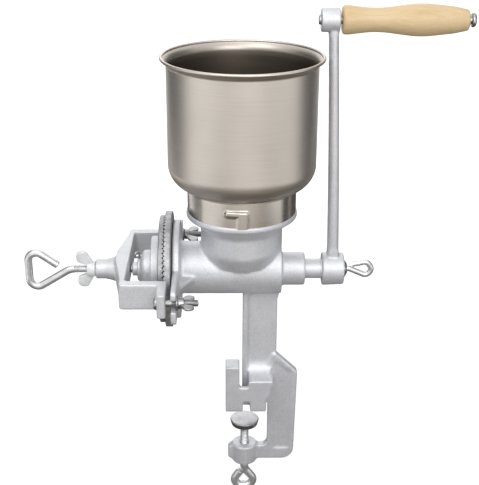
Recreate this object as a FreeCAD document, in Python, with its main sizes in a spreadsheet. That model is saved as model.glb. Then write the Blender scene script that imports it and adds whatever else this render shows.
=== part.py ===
import FreeCAD, Part
import math
import os
import Sketcher
from FreeCAD import Placement, Rotation, Vector

# A hand grain mill that clamps to a table edge. All sizes are in millimetres.
# World frame: +X runs along the shaft towards the crank, +Z is up, and the origin lies on the
# sole of the foot, straight under the hopper's axis. Every piece but the clamp screw and its pad
# is drawn about the point where the shaft's axis crosses the hopper's axis.

doc = FreeCAD.newDocument("grain_mill")

# Driving dimensions

SIZES = (
    ("shaft_height", 139.5, "shaft axis above the sole of the foot"),
    ("shaft_radius", 9, "shaft in the barrel and in the boss"),
    ("edge_round", 1, "rims of turned pieces and fine edges of cast ones"),
    ("fine_round", 0.8, "edges of small pieces"),
    ("cast_round", 2, "edges of cast pieces"),
    ("running_gap", 0.06, "radial clearance of what turns or slides in a hole"),
    ("loose_gap", 0.4, "radial clearance of what is slipped over or through by hand"),
    ("bolt_gap", 0.25, "radial clearance of bolts and pins in plain holes"),
    ("pin_gap", 0.15, "radial clearance of the split pin and of the swivelling clamp pad"),
    ("barrel_radius", 24, "outside of the barrel"),
    ("barrel_lift", 1.6, "barrel's outer round and the ears above the shaft axis"),
    ("barrel_bore", 19, "radius of the auger's chamber"),
    ("barrel_right", 36, "hopper axis to the barrel's right end"),
    ("end_wall", 8, "wall between the chamber and the boss"),
    ("boss_radius", 15, "outside of the bearing boss"),
    ("boss_length", 21.4, "bearing boss beyond the barrel"),
    ("flange_place", 61.1, "hopper axis to the flange's front face"),
    ("flange_thick", 6.2, "flange"),
    ("flange_radius", 44.8, "round part of the flange"),
    ("seat_step", 1, "raised seat on the flange, behind the fixed plate"),
    ("seat_radius", 39, "raised seat"),
    ("ear_tip", 8.5, "yoke bolts' axes to the tips of the flange's and the yoke's ears"),
    ("ear_half", 15.5, "half the height of the flange's ears"),
    ("ear_drop", 2, "yoke bolts' axes above the middle of the flange's ears"),
    ("ear_thick", 4.8, "flange's ears"),
    ("ear_set", 0.5, "flange's front face to its ears' front faces"),
    ("ear_root", 8, "ears' roots inside the flange's round"),
    ("brace_half", 22, "half the width of the braces above and below the ears"),
    ("brace_rise", 21, "braces beyond the ears' upper and lower edges"),
    ("ear_round", 4, "outer corners of the ears"),
    ("slot_half", 5, "half the width of the ears' open slots"),
    ("slot_round", 4, "closed ends of the ears' slots"),
    ("bolt_offset", 76.5, "shaft axis to each yoke bolt's axis"),
    ("gusset_reach", 41, "shaft axis to the outer corner of the gussets"),
    ("gusset_tip", 1.5, "flat outer end of the gussets, along the barrel"),
    ("gusset_length", 14, "gussets along the barrel"),
    ("gusset_thick", 5, "gussets"),
    ("ring_top", 58.2, "shaft axis to the hopper's seat ring"),
    ("ring_high", 4.5, "seat ring"),
    ("ring_radius", 49.2, "seat ring"),
    ("ring_groove", 0.8, "groove round the edge of the seat ring"),
    ("spigot_high", 11.5, "spigot above the seat ring"),
    ("spigot_wall", 3.8, "spigot"),
    ("neck_radius", 36.4, "outside of the neck"),
    ("neck_wall", 5, "neck"),
    ("neck_flare", 14.5, "seat ring's top to the neck's straight wall"),
    ("neck_shoulder", 22, "height of the corner where the neck starts to close in"),
    ("neck_shoulder_round", 12, "rounding of that corner"),
    ("neck_toe_in", 7, "neck's shoulder to its toe, inwards"),
    ("neck_toe_drop", 12, "neck's shoulder to its toe, downwards"),
    ("neck_toe_round", 9, "rounding of the neck's toe"),
    ("neck_foot_radius", 17, "neck where it meets the barrel"),
    ("neck_root", 4, "height where the neck starts inside the barrel"),
    ("neck_flare_round", 7, "rounding between the neck and its flare"),
    ("ring_bevel", 3, "seat ring's edge to where the flare meets it"),
    ("hollow_round", 5, "corners of the neck's inside"),
    ("funnel_rise", 7, "neck's shoulder to where its inside starts to close in"),
    ("throat_radius", 17, "throat above the auger"),
    ("throat_top", 15, "height where the throat starts"),
    ("lug_radius", 2.4, "bayonet lugs on the spigot"),
    ("lug_reach", 1.3, "bayonet lugs beyond the spigot"),
    ("lug_drop", 6.5, "centre of the lugs above the seat ring"),
    ("post_left", 1.5, "hopper axis to the post's left side"),
    ("post_right", 33.5, "hopper axis to the post's right side"),
    ("post_rib", 5, "width of the post's rib"),
    ("post_rib_deep", 12, "depth of the post's rib, front to back"),
    ("post_web", 5, "thickness of the post's web"),
    ("post_shoulder", 30, "shaft axis to the post's right shoulder"),
    ("foot_deep", 42, "foot block, front to back"),
    ("foot_high", 33, "foot block"),
    ("foot_left", 7, "hopper axis to the foot block's left side"),
    ("foot_top_right", 30.4, "hopper axis to the foot block's upper right edge"),
    ("foot_right", 24, "hopper axis to the sole's right edge"),
    ("foot_waist", 12, "sole to where the foot block starts to widen"),
    ("foot_hip", 18, "sole to where the foot block stops widening"),
    ("foot_ledge", 2, "ledge of the foot block's upper band, to the right"),
    ("foot_band", 6, "upper band of the foot block"),
    ("foot_fillet", 13, "fillet between the post's web and the top of the foot block"),
    ("bar_left", 14.4, "hopper axis to the front bar's left side"),
    ("bar_wide", 12.9, "front bar"),
    ("bar_high", 48, "front bar"),
    ("bar_deep", 17, "front bar, front to back"),
    ("bridge_high", 25.8, "bridge between the front bar and the foot block"),
    ("bridge_deep", 5, "bridge, front to back"),
    ("notch_left", 1.8, "hopper axis to the notch in the bridge"),
    ("notch_right", 8.5, "hopper axis to the notch's right side"),
    ("notch_high", 10.5, "notch in the bridge"),
    ("notch_deep", 12, "notch in the bridge, from the front"),
    ("notch_round", 2.5, "upper corners of the notch"),
    ("sole_web_left", 4, "hopper axis to the left side of the sole's web, behind the notch"),
    ("sole_web_deep", 15, "sole's web, front to back"),
    ("sole_web_high", 12, "sole's web"),
    ("arm_thick", 8, "plate of the clamp arm"),
    ("arm_inside", 26, "hopper axis to the arm's inner edge, which meets the table's edge"),
    ("arm_outside", 53.8, "hopper axis to the arm's outer edge"),
    ("arm_shoulder", 33.5, "sole to the top of the arm's outer edge"),
    ("arm_peak", 52.8, "sole to where the arm leaves the post"),
    ("arm_low", 64.6, "sole to the bottom of the arm"),
    ("arm_corner", 12, "lower outer corner of the arm"),
    ("arm_draft", 2, "arm's outer edge nearer to the table at the bottom"),
    ("arm_round", 6, "shoulder and inner corners of the arm"),
    ("arm_sunk", 4, "arm's plate inside the foot block and the post"),
    ("arm_recess", 1, "depth of the panels in the arm's two faces"),
    ("arm_border", 6, "border round the arm's panels"),
    ("panel_left_high", 46, "sole to the inner upper corner of the arm's panels"),
    ("panel_right_high", 33, "sole to the outer upper corner of the arm's panels"),
    ("jaw_opening", 49, "sole to the lower jaw"),
    ("jaw_left", 12, "hopper axis to the lower jaw's left end"),
    ("jaw_round", 4, "corners of the lower jaw's left end"),
    ("clamp_place", 4, "hopper axis to the clamp screw's axis"),
    ("clamp_boss_radius", 12, "boss that the clamp screw runs in"),
    ("clamp_boss_rise", 2, "clamp screw's boss beyond each face of the jaw"),
    ("clamp_rod", 3.95, "radius of the clamp screw"),
    ("clamp_grip", 20, "table thickness that the clamp holds at rest"),
    ("pad_radius", 14, "clamp pad"),
    ("pad_thick", 6, "clamp pad"),
    ("pad_socket", 3.6, "depth of the pad's socket"),
    ("pad_draft", 1.5, "clamp pad's face wider than its back, at the radius"),
    ("pad_end_gap", 0.2, "clamp screw's tip to the bottom of the pad's socket"),
    ("clamp_neck_radius", 2.9, "neck of the clamp screw in the pad's socket"),
    ("clamp_neck_rise", 0.6, "clamp screw's neck out of the pad's socket"),
    ("clamp_stem", 55.4, "clamp screw from its tip to its bent handle"),
    ("clamp_loop_length", 20, "clamp screw's bend to the middle line of its handle's far side"),
    ("clamp_loop_half", 15, "half the width of the clamp screw's handle on its middle line"),
    ("clamp_loop_open", 17, "far side of the clamp screw's handle back to its open end"),
    ("clamp_loop_round", 6.5, "bends of the clamp screw's handle"),
    ("clamp_bend", 10, "bend between the clamp screw's stem and its handle"),
    ("plate_gap", 0.25, "between the two grinding plates at rest"),
    ("fixed_plate_thick", 6.1, "fixed plate"),
    ("fixed_plate_radius", 52.6, "fixed plate"),
    ("fixed_plate_bore", 22, "radius of the fixed plate's bore"),
    ("moving_plate_thick", 4.8, "turning plate"),
    ("moving_plate_radius", 48.6, "turning plate"),
    ("moving_plate_gap", 1.5, "radial clearance of the shaft in the turning plate"),
    ("fixed_tooth_count", 75, "radial grooves in the fixed plate"),
    ("moving_tooth_count", 72, "radial grooves in the turning plate"),
    ("tooth_half", 1.01, "half the width of a groove at the plate's face"),
    ("tooth_deep", 1.5, "depth of a groove"),
    ("tooth_start", 36, "shaft axis to the inner end of the grooves"),
    ("screw_radius", 2.5, "plate screws"),
    ("screw_head", 4.6, "heads of the plate screws"),
    ("screw_sink", 2.2, "depth of the plate screws' countersinks"),
    ("screw_below", 0.2, "heads of the plate screws below the grinding face"),
    ("screw_short", 0.4, "tips of the plate screws inside the face that they reach"),
    ("screw_slot_wide", 1.1, "slots in the plate screws' heads"),
    ("screw_slot_deep", 0.9, "depth of those slots"),
    ("fixed_screw_place", 29.5, "shaft axis to the fixed plate's screws"),
    ("moving_screw_place", 23.5, "shaft axis to the turning plate's screws"),
    ("carrier_radius", 30, "disc of the plate carrier"),
    ("carrier_thick", 8, "disc of the plate carrier"),
    ("carrier_groove", 0.8, "groove between the carrier's disc and its hub, along the shaft"),
    ("carrier_waist", 15.4, "radius of the carrier at the groove"),
    ("hub_radius", 17.4, "hub of the plate carrier"),
    ("hub_nose", 10.8, "radius of the narrow end of the hub"),
    ("hub_nose_length", 3.4, "narrow end of the hub"),
    ("hub_round", 5, "rounding of the hub's shoulder"),
    ("hub_length", 20.9, "plate carrier along the shaft"),
    ("drive_square", 12.6, "square of the shaft in the carrier and in the crank"),
    ("tail_radius", 6.3, "round end of the shaft behind the carrier"),
    ("tail_length", 4.6, "round end of the shaft behind the carrier"),
    ("core_step", 0.3, "shaft's round core under the flats of its squares"),
    ("split_pin_radius", 1, "split pin"),
    ("split_pin_round", 1.8, "bends of the split pin's eye"),
    ("split_pin_end", 1.4, "split pin's axis to the end of its wire"),
    ("split_pin_inset", 1.9, "split pin's axis inside the end of the hub"),
    ("split_pin_eye", 2.4, "radius of the middle line of the split pin's eye"),
    ("split_pin_lift", 12, "shaft axis to the foot of the split pin's eye"),
    ("split_pin_tail", 15, "split pin below the shaft axis"),
    ("flight_pitch", 27, "auger"),
    ("flight_thick", 4, "auger's flight at its rim"),
    ("flight_taper", 0.6, "auger's flight thinner at its rim, on each side"),
    ("flight_start", 2, "flange's front face to the start of the auger's flight"),
    ("flight_gap", 0.7, "auger's rim to the chamber's wall"),
    ("flight_turns", 3, "auger"),
    ("ball_radius", 3.5, "thrust ball"),
    ("ball_seat", 2.6, "depth of the thrust ball's cup in the shaft's end"),
    ("ball_gap", 0.3, "radial clearance of the thrust ball in its cup"),
    ("yoke_gap", 2.25, "shaft's end to the yoke's cross web"),
    ("yoke_web", 5, "yoke's cross web at the arms"),
    ("yoke_mid", 12.5, "yoke's cross web at its middle"),
    ("yoke_mid_half", 10, "half the width of the web's thick middle"),
    ("yoke_shoulder", 12, "width of the web beside each arm before it thickens"),
    ("yoke_corner", 4, "outer corners of the yoke"),
    ("yoke_sweep", 14, "long curves of the yoke's web and boss"),
    ("yoke_inner_round", 3, "inner corners of the yoke"),
    ("yoke_high", 23.6, "yoke"),
    ("yoke_arm_gap", 2, "fixed plate's rim to the yoke's arms"),
    ("yoke_arm_thick", 9, "yoke's arms"),
    ("yoke_ear_thick", 7.5, "yoke's ears"),
    ("yoke_ear_gap", 3.7, "yoke's ears to the flange's ears"),
    ("yoke_ear_rise", 2, "lower edge of the yoke's ears above its arms' lower edge"),
    ("yoke_boss_radius", 8.9, "yoke's threaded boss"),
    ("yoke_boss_length", 9.5, "straight part of the yoke's boss"),
    ("yoke_boss_flare", 9, "cone between the yoke's boss and its web"),
    ("bolt_radius", 3, "yoke bolts"),
    ("bolt_head", 5.7, "radius of the yoke bolts' heads"),
    ("bolt_head_high", 3, "yoke bolts' heads"),
    ("bolt_dome", 2.4, "rounding of the yoke bolts' heads"),
    ("bolt_length", 35, "yoke bolts under the head"),
    ("washer_radius", 6.2, "washers of the yoke bolts"),
    ("washer_thick", 1.2, "washers of the yoke bolts"),
    ("washer_round", 0.4, "edges of those washers"),
    ("wing_hub", 5.2, "radius of the small wing nuts' hubs"),
    ("wing_hub_high", 5.5, "small wing nuts' hubs"),
    ("wing_span", 13.5, "axis to the tips of the small wings"),
    ("wing_rise", 14.5, "small wing nuts"),
    ("wing_thick", 2.4, "small wings"),
    ("wing_root", 2.4, "wings' roots inside the nut's hub"),
    ("rod_radius", 3.5, "adjusting screw"),
    ("rod_stem", 52.3, "adjusting screw from its tip to the bend"),
    ("loop_length", 37.6, "bend to the middle line of the loop's far side"),
    ("loop_half", 23, "half the height of the loop on its middle line"),
    ("loop_open", 26.7, "far side of the loop back to its open end"),
    ("loop_round", 7.5, "bends of the loop"),
    ("loop_bend", 16, "bend between the adjusting screw's stem and its loop"),
    ("loop_end", 3.5, "stem's axis to the open end of a bent handle"),
    ("lock_hub", 7.3, "radius of the lock nut's hub"),
    ("lock_hub_high", 7.6, "lock nut's hub"),
    ("lock_span", 19.5, "axis to the tips of the lock nut's wings"),
    ("lock_rise", 17.5, "lock nut"),
    ("lock_thick", 4, "lock nut's wings"),
    ("lock_gap", 0.4, "lock nut to the yoke's boss"),
    ("crank_hub_radius", 15.2, "lower hub of the crank"),
    ("crank_hub_length", 19.7, "lower hub of the crank"),
    ("crank_hub_draft", 0.8, "lower hub of the crank narrower at its outer end, at the radius"),
    ("crank_place", 73.1, "hopper axis to the crank's lower hub"),
    ("crank_throw", 225, "shaft axis to the grip's axis"),
    ("crank_lean", 7.7, "top of the crank's arm nearer to the hopper than its foot"),
    ("crank_bow", 0.6, "bow of the crank's arm at its middle, away from the hopper"),
    ("crank_bar_start", 6, "shaft axis to the root of the crank's arm"),
    ("crank_bar_end", 3, "grip's axis to the end of the crank's arm"),
    ("crank_bar_low", 10.4, "crank's arm along the shaft, at its foot"),
    ("crank_bar_top", 8.2, "crank's arm along the shaft, at its top"),
    ("crank_bar_wide", 14, "crank's arm across the shaft"),
    ("crank_bar_round", 3.6, "long edges of the crank's arm"),
    ("crank_top_radius", 10, "upper hub of the crank"),
    ("crank_top_place", 64.7, "hopper axis to the crank's upper hub"),
    ("crank_top_length", 15.6, "upper hub of the crank"),
    ("crank_screw_radius", 2.9, "crank screw"),
    ("crank_screw_depth", 18, "tapped hole for the crank screw in the shaft"),
    ("crank_screw_short", 0.5, "crank screw's tip to the bottom of that hole"),
    ("crank_screw_gap", 0.3, "radial clearance of the crank screw in the crank and its washer"),
    ("square_short", 2, "shaft's end inside the crank's outer face"),
    ("cup_radius", 8.6, "cone washer of the crank"),
    ("cup_high", 3.2, "cone washer of the crank"),
    ("cup_edge", 0.8, "straight edge of the cone washer"),
    ("cup_land", 1.4, "flat round the hole of the cone washer"),
    ("eye_wire", 2.6, "radius of the crank screw's wire eye"),
    ("eye_length", 22.5, "washer to the middle line of the eye's far side"),
    ("eye_half", 6.2, "half the height of the eye on its middle line"),
    ("eye_round", 5, "bends of the eye"),
    ("eye_end", 4, "eye's wire end above the screw's axis, and as far outside the washer"),
    ("grip_gap", 1.8, "upper hub to the grip"),
    ("grip_length", 105, "wooden grip"),
    ("grip_near", 12, "radius of the grip at the crank"),
    ("grip_neck", 9.3, "radius of the corner at the grip's neck, which its curve passes just outside"),
    ("grip_belly", 14.1, "radius of the corner at the grip's belly, which its curve passes just inside"),
    ("grip_far", 8.6, "radius of the grip at its outer end"),
    ("grip_neck_place", 28.4, "grip's inner end to its neck"),
    ("grip_belly_place", 65, "grip's inner end to its belly"),
    ("grip_taper", 12.6, "tapered outer end of the grip"),
    ("grip_sweep", 90, "long curves of the grip"),
    ("grip_lip", 6, "thick inner end of the grip"),
    ("grip_end_round", 2.5, "ends of the grip"),
    ("pin_radius", 3.2, "grip's pin"),
    ("pin_rivet", 3.9, "radius of the pin's riveted end"),
    ("pin_rivet_high", 2, "pin's riveted end"),
    ("pin_head", 6, "radius of the pin's domed head"),
    ("pin_head_high", 3.7, "pin's domed head"),
    ("pin_dome", 2.5, "rounding of the pin's head"),
    ("pin_end_gap", 2.2, "grip to the pin's head"),
    ("bowl_radius", 64.6, "hopper's bowl"),
    ("bowl_wall", 0.9, "sheet of the hopper"),
    ("rim_clearance", 19.7, "hopper's rim to the crank's upper hub, which passes above it"),
    ("bowl_turn", 85, "shaft axis to the corner where the bowl closes in"),
    ("bowl_round", 21, "rounding of that corner"),
    ("bowl_foot", 1.5, "collar's top to the corner where the bowl leaves it"),
    ("bowl_foot_round", 1.2, "rounding of the corner where the bowl leaves its collar"),
    ("bowl_flare", 5, "height and rounding of the flare under the rolled rim"),
    ("bead_radius", 1.6, "rolled rim of the hopper"),
    ("rim_radius", 70, "hopper over its rolled rim"),
    ("collar_radius", 48, "hopper's collar"),
    ("collar_high", 21.3, "hopper's collar"),
    ("collar_lap", 7, "bowl's skirt inside the collar"),
    ("emboss_rise", 2.2, "raised bayonet channel of the collar"),
    ("channel_wide", 10.5, "upright leg of the bayonet channel"),
    ("channel_high", 6.2, "cross leg of the bayonet channel"),
    ("channel_length", 20.5, "cross leg of the bayonet channel"),
    ("channel_top", 15.6, "seat ring to the top of the bayonet channel"),
)


class Size:
    """A number from the sheet, or a sum made of such numbers, with its formula."""

    def __init__(self, value, formula):
        self.value = float(value)
        self.formula = formula

    def __add__(self, other):
        return Size(self.value + number(other), f"({self.formula} + {formula(other)})")

    def __sub__(self, other):
        return Size(self.value - number(other), f"({self.formula} - {formula(other)})")

    def __mul__(self, other):
        return Size(self.value * number(other), f"({self.formula} * {formula(other)})")

    def __truediv__(self, other):
        return Size(self.value / number(other), f"({self.formula} / {formula(other)})")

    def __radd__(self, other):
        return Size(number(other) + self.value, f"({formula(other)} + {self.formula})")

    def __rsub__(self, other):
        return Size(number(other) - self.value, f"({formula(other)} - {self.formula})")

    def __rmul__(self, other):
        return Size(number(other) * self.value, f"({formula(other)} * {self.formula})")

    def __neg__(self):
        return Size(-self.value, f"(0 - {self.formula})")


def number(size):
    return size.value if isinstance(size, Size) else float(size)


def formula(size):
    return size.formula if isinstance(size, Size) else repr(float(size))


def bind(item, name, size):
    item.setExpression(name, formula(size))


class Sheet:
    """The driving dimensions, each read by its name."""

    def __init__(self):
        self.cells = doc.addObject("Spreadsheet::Sheet", "Sizes")
        for row, (name, value, meaning) in enumerate(SIZES, 1):
            self.cells.set(f"A{row}", meaning)
            self.cells.set(f"B{row}", str(value))
            self.cells.setAlias(f"B{row}", name)
            setattr(self, name, Size(value, f"Sizes.{name}"))


size = Sheet()
doc.recompute()

# How far a cut, or a shape that is joined on, runs past the face that it starts from
PAST = 1

# Drawing helpers

NODES = []


def place(item, x=0, y=0, z=None):
    """Puts a piece's own origin at x, y, and at the shaft's height unless z is given."""
    bind(item, "Placement.Base.x", x)
    bind(item, "Placement.Base.y", y)
    bind(item, "Placement.Base.z", size.shaft_height if z is None else z)


def new_body(label, x=0, y=0, z=None, turn=None):
    body = doc.addObject("PartDesign::Body", label)
    body.Label = label
    if turn:
        body.Placement = Placement(Vector(0, 0, 0), turn)
    place(body, x, y, z)
    NODES.append(body)
    return body


def new_sketch(body, plane="XZ", offset=0):
    """A sketch on one of the body's own planes, moved along the plane's normal by offset."""
    sketch = body.newObject("Sketcher::SketchObject", body.Label + "_sketch")
    base = [item for item in body.Origin.OriginFeatures if item.Role == plane + "_Plane"][0]
    sketch.AttachmentSupport = [(base, "")]
    sketch.MapMode = "FlatFace"
    bind(sketch, "AttachmentOffset.Base.z", offset)
    return sketch


def hold(sketch, kind, item, point, size_or_number):
    """Fixes a point's distance from the sketch's origin along one axis."""
    start = Sketcher.Constraint(kind, -1, 1, item, point, number(size_or_number))
    index = sketch.addConstraint(start)
    sketch.setExpression(f"Constraints[{index}]", formula(size_or_number))


def hold_at(sketch, item, point, x, y):
    hold(sketch, "DistanceX", item, point, x)
    hold(sketch, "DistanceY", item, point, y)


def hold_radius(sketch, item, radius):
    index = sketch.addConstraint(Sketcher.Constraint("Radius", item, number(radius)))
    sketch.setExpression(f"Constraints[{index}]", formula(radius))


def circle(sketch, x, y, radius):
    middle = Vector(number(x), number(y), 0)
    item = sketch.addGeometry(Part.Circle(middle, Vector(0, 0, 1), number(radius)), False)
    hold_at(sketch, item, 3, x, y)
    hold_radius(sketch, item, radius)


def rounded(before, corner, after, radius):
    """The arc that rounds a corner, its two tangent points, and whether it turns left."""
    back = (before - corner).normalize()
    ahead = (after - corner).normalize()
    half = back.getAngle(ahead) / 2
    enter = corner + back * (radius / math.tan(half))
    leave = corner + ahead * (radius / math.tan(half))
    middle = corner + (back + ahead).normalize() * (radius / math.sin(half))
    left = back.cross(ahead).z < 0
    first, last = (enter, leave) if left else (leave, enter)
    angles = [math.atan2((p - middle).y, (p - middle).x) for p in (first, last)]
    if angles[1] < angles[0]:
        angles[1] += 2 * math.pi
    arc = Part.ArcOfCircle(Part.Circle(middle, Vector(0, 0, 1), radius), *angles)
    return arc, enter, leave, left


def outline(sketch, corners, closed=True):
    """Straight runs through corners (x, y) or (x, y, radius), each radius a tangent arc."""
    points = [Vector(number(c[0]), number(c[1]), 0) for c in corners]
    count = len(points)
    arcs = {}
    for i, corner in enumerate(corners):
        if len(corner) == 3:
            near = points[i - 1], points[i], points[(i + 1) % count]
            arcs[i] = rounded(*near, number(corner[2]))
    runs = []
    for i in range(count if closed else count - 1):
        j = (i + 1) % count
        start = arcs[i][2] if i in arcs else points[i]
        end = arcs[j][1] if j in arcs else points[j]
        runs.append(sketch.addGeometry(Part.LineSegment(start, end), False))
    for i, corner in enumerate(corners):
        inner = closed or 0 < i < count - 1
        if i in arcs:
            arc, _, _, left = arcs[i]
            mark = sketch.addGeometry(Part.Point(points[i]), True)
            bend = sketch.addGeometry(arc, False)
            hold_at(sketch, mark, 1, corner[0], corner[1])
            for run in (runs[i - 1], runs[i]):
                sketch.addConstraint(Sketcher.Constraint("PointOnObject", mark, 1, run))
            enter, leave = (1, 2) if left else (2, 1)
            sketch.addConstraint(Sketcher.Constraint("Tangent", runs[i - 1], 2, bend, enter))
            sketch.addConstraint(Sketcher.Constraint("Tangent", bend, leave, runs[i], 1))
            hold_radius(sketch, bend, corner[2])
        elif inner:
            sketch.addConstraint(Sketcher.Constraint("Coincident", runs[i - 1], 2, runs[i], 1))
            hold_at(sketch, runs[i], 1, corner[0], corner[1])
        elif i == 0:
            hold_at(sketch, runs[0], 1, corner[0], corner[1])
        else:
            hold_at(sketch, runs[-1], 2, corner[0], corner[1])


def box_outline(sketch, low_x, low_y, high_x, high_y):
    outline(sketch, [(low_x, low_y), (high_x, low_y), (high_x, high_y), (low_x, high_y)])


def feature(body, kind, sketch, **settings):
    """Adds a feature made from a sketch, and makes sure that a cut does take something away."""
    before = body.Shape.Volume if body.Tip else 0
    item = body.newObject("PartDesign::" + kind, body.Label + "_" + kind.lower())
    item.Profile = sketch
    for name, value in settings.items():
        if isinstance(value, Size):
            bind(item, name, value)
        else:
            setattr(item, name, value)
    body.Tip = item
    doc.recompute()
    grown = body.Shape.Volume - before
    if (grown >= 0) == (kind in ("Pocket", "Groove")):
        raise ValueError(f"{item.Name} changes the volume by {grown}")
    return item


def pad(body, sketch, length, **settings):
    return feature(body, "Pad", sketch, Length=length, **settings)


def pocket(body, sketch, length, **settings):
    return feature(body, "Pocket", sketch, Length=length, **settings)


def revolve(body, sketch, axis="H_Axis"):
    return feature(body, "Revolution", sketch, ReferenceAxis=(sketch, [axis]))


def groove(body, sketch, axis="H_Axis"):
    return feature(body, "Groove", sketch, ReferenceAxis=(sketch, [axis]))


def turned(body, corners):
    """A solid turned about the shaft's direction, from corners (x, radius)."""
    sketch = new_sketch(body)
    outline(sketch, corners)
    return revolve(body, sketch)


def bored(body, start, end, radius):
    """A round hole along the shaft's direction, about the body's own X axis."""
    sketch = new_sketch(body)
    box_outline(sketch, start, 0, end, radius)
    return groove(body, sketch)


def about_x(degrees):
    return Rotation(Vector(1, 0, 0), degrees)


def pattern(body, cut, count, axis="X_Axis"):
    item = body.newObject("PartDesign::PolarPattern", body.Label + "_pattern")
    line = [part for part in body.Origin.OriginFeatures if part.Role == axis][0]
    item.Originals = [cut]
    item.Axis = (line, [""])
    item.Angle = 360
    bind(item, "Occurrences", count)
    body.Tip = item
    doc.recompute()


def wire_pipe(body, radius, corners, plane="XZ", start_plane="YZ"):
    """Round wire bent along corners in one plane, starting square to start_plane."""
    path = new_sketch(body, plane)
    outline(path, corners, closed=False)
    first = corners[0][0] if start_plane == "YZ" else corners[0][1]
    across = corners[0][1] if start_plane == "YZ" else corners[0][0]
    section = new_sketch(body, start_plane, first)
    if start_plane == "YZ":
        circle(section, 0, across, radius)
    else:
        circle(section, across, 0, radius)
    doc.recompute()
    edges = [f"Edge{i + 1}" for i in range(len(path.Shape.Edges))]
    return feature(body, "AdditivePipe", section, Spine=(path, edges))


# The casting: barrel, flange, neck, post, foot and clamp arm

flange_face = -size.flange_place
flange_back = flange_face + size.flange_thick
ear_front = flange_face + size.ear_set
ear_rear = ear_front + size.ear_thick
seat_face = flange_face - size.seat_step
boss_end = size.barrel_right + size.boss_length
chamber_end = size.barrel_right - size.end_wall
spigot_radius = size.collar_radius - size.bowl_wall - size.loose_gap
spigot_inside = spigot_radius - size.spigot_wall
spigot_top = size.ring_top + size.spigot_high
ring_bottom = size.ring_top - size.ring_high
sole = -size.shaft_height
bolt_height = size.barrel_lift + size.yoke_ear_rise / 2
front = -size.foot_deep / 2


def barrel_and_flange(body):
    turned(body, [
        (seat_face, 0), (seat_face, size.seat_radius), (flange_face, size.seat_radius),
        (flange_face, size.flange_radius), (flange_back, size.flange_radius),
        (flange_back, size.boss_radius), (boss_end, size.boss_radius, size.edge_round), (boss_end, 0),
    ])
    barrel = new_sketch(body, "YZ", flange_back - PAST)
    circle(barrel, 0, size.barrel_lift, size.barrel_radius)
    pad(body, barrel, size.barrel_right - flange_back + PAST)


ear_reach = size.bolt_offset + size.ear_tip


def ears(body):
    middle = bolt_height - size.ear_drop
    low = middle - size.ear_half
    high = middle + size.ear_half
    near = size.flange_radius - size.ear_root
    brace = size.brace_half
    plate = new_sketch(body, "YZ", ear_front)
    outline(plate, [
        (-ear_reach, low, size.ear_round), (-near, low), (-brace, low - size.brace_rise),
        (brace, low - size.brace_rise), (near, low), (ear_reach, low, size.ear_round),
        (ear_reach, high, size.ear_round), (near, high), (brace, high + size.brace_rise),
        (-brace, high + size.brace_rise), (-near, high), (-ear_reach, high, size.ear_round),
    ])
    pad(body, plate, size.ear_thick)
    slots = new_sketch(body, "YZ", ear_front - PAST)
    inner = size.bolt_offset - size.slot_half
    below = bolt_height - size.slot_half
    above = bolt_height + size.slot_half
    for side in (-1, 1):
        outline(slots, [
            (side * inner, below, size.slot_round), (side * (ear_reach + PAST), below),
            (side * (ear_reach + PAST), above), (side * inner, above, size.slot_round),
        ])
    pocket(body, slots, size.ear_thick + PAST * 2, Reversed=True)


def gussets(body):
    sketch = new_sketch(body, "XY")
    root = size.barrel_radius - PAST * 2
    for side in (-1, 1):
        outline(sketch, [
            (flange_back - PAST, side * root), (flange_back - PAST, side * size.gusset_reach),
            (flange_back + size.gusset_tip, side * size.gusset_reach),
            (flange_back + size.gusset_length, side * root),
        ])
    pad(body, sketch, size.gusset_thick, Midplane=True)


def neck(body):
    sketch = new_sketch(body)
    straight = size.ring_top - size.neck_flare
    lip = size.ring_radius - size.ring_groove
    below = ring_bottom + size.ring_high / 2 - size.ring_groove / 2
    above = below + size.ring_groove
    toe_radius = size.neck_radius - size.neck_toe_in
    outline(sketch, [
        (0, size.neck_root), (size.neck_foot_radius, size.neck_root),
        (toe_radius, size.neck_shoulder - size.neck_toe_drop, size.neck_toe_round),
        (size.neck_radius, size.neck_shoulder, size.neck_shoulder_round),
        (size.neck_radius, straight, size.neck_flare_round),
        (size.ring_radius - size.ring_bevel, ring_bottom - size.ring_bevel / 2, size.ring_bevel),
        (size.ring_radius, ring_bottom), (size.ring_radius, below), (lip, below), (lip, above),
        (size.ring_radius, above), (size.ring_radius, size.ring_top),
        (spigot_radius, size.ring_top), (spigot_radius, spigot_top), (0, spigot_top),
    ])
    revolve(body, sketch, "V_Axis")


def lugs(body):
    sketch = new_sketch(body)
    circle(sketch, 0, size.ring_top + size.lug_drop, size.lug_radius)
    pad(body, sketch, (spigot_radius + size.lug_reach) * 2, Midplane=True)


def chamber(body):
    bored(body, seat_face - PAST, chamber_end, size.barrel_bore)
    bored(body, chamber_end - PAST, boss_end + PAST, size.shaft_radius + size.running_gap)
    inside = size.neck_radius - size.neck_wall
    sketch = new_sketch(body)
    outline(sketch, [
        (0, spigot_top + PAST), (spigot_inside, spigot_top + PAST),
        (spigot_inside, size.ring_top, size.hollow_round),
        (inside, size.ring_top - size.neck_flare, size.hollow_round),
        (inside, size.neck_shoulder + size.funnel_rise, size.hollow_round),
        (size.throat_radius, size.throat_top, size.hollow_round), (size.throat_radius, 0), (0, 0),
    ])
    groove(body, sketch, "V_Axis")


def post(body):
    top = -(size.barrel_radius + size.barrel_bore) / 2
    root = sole + size.notch_high + PAST * 2
    web = new_sketch(body)
    outline(web, [
        (size.post_left + PAST, root), (size.post_right, root), (size.post_right, -size.post_shoulder),
        (size.barrel_right, top), (size.post_left + PAST, top),
    ])
    pad(body, web, size.post_web, Midplane=True)
    rib = new_sketch(body)
    box_outline(rib, size.post_left, root, size.post_left + size.post_rib, top)
    pad(body, rib, size.post_rib_deep, Midplane=True)


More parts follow.
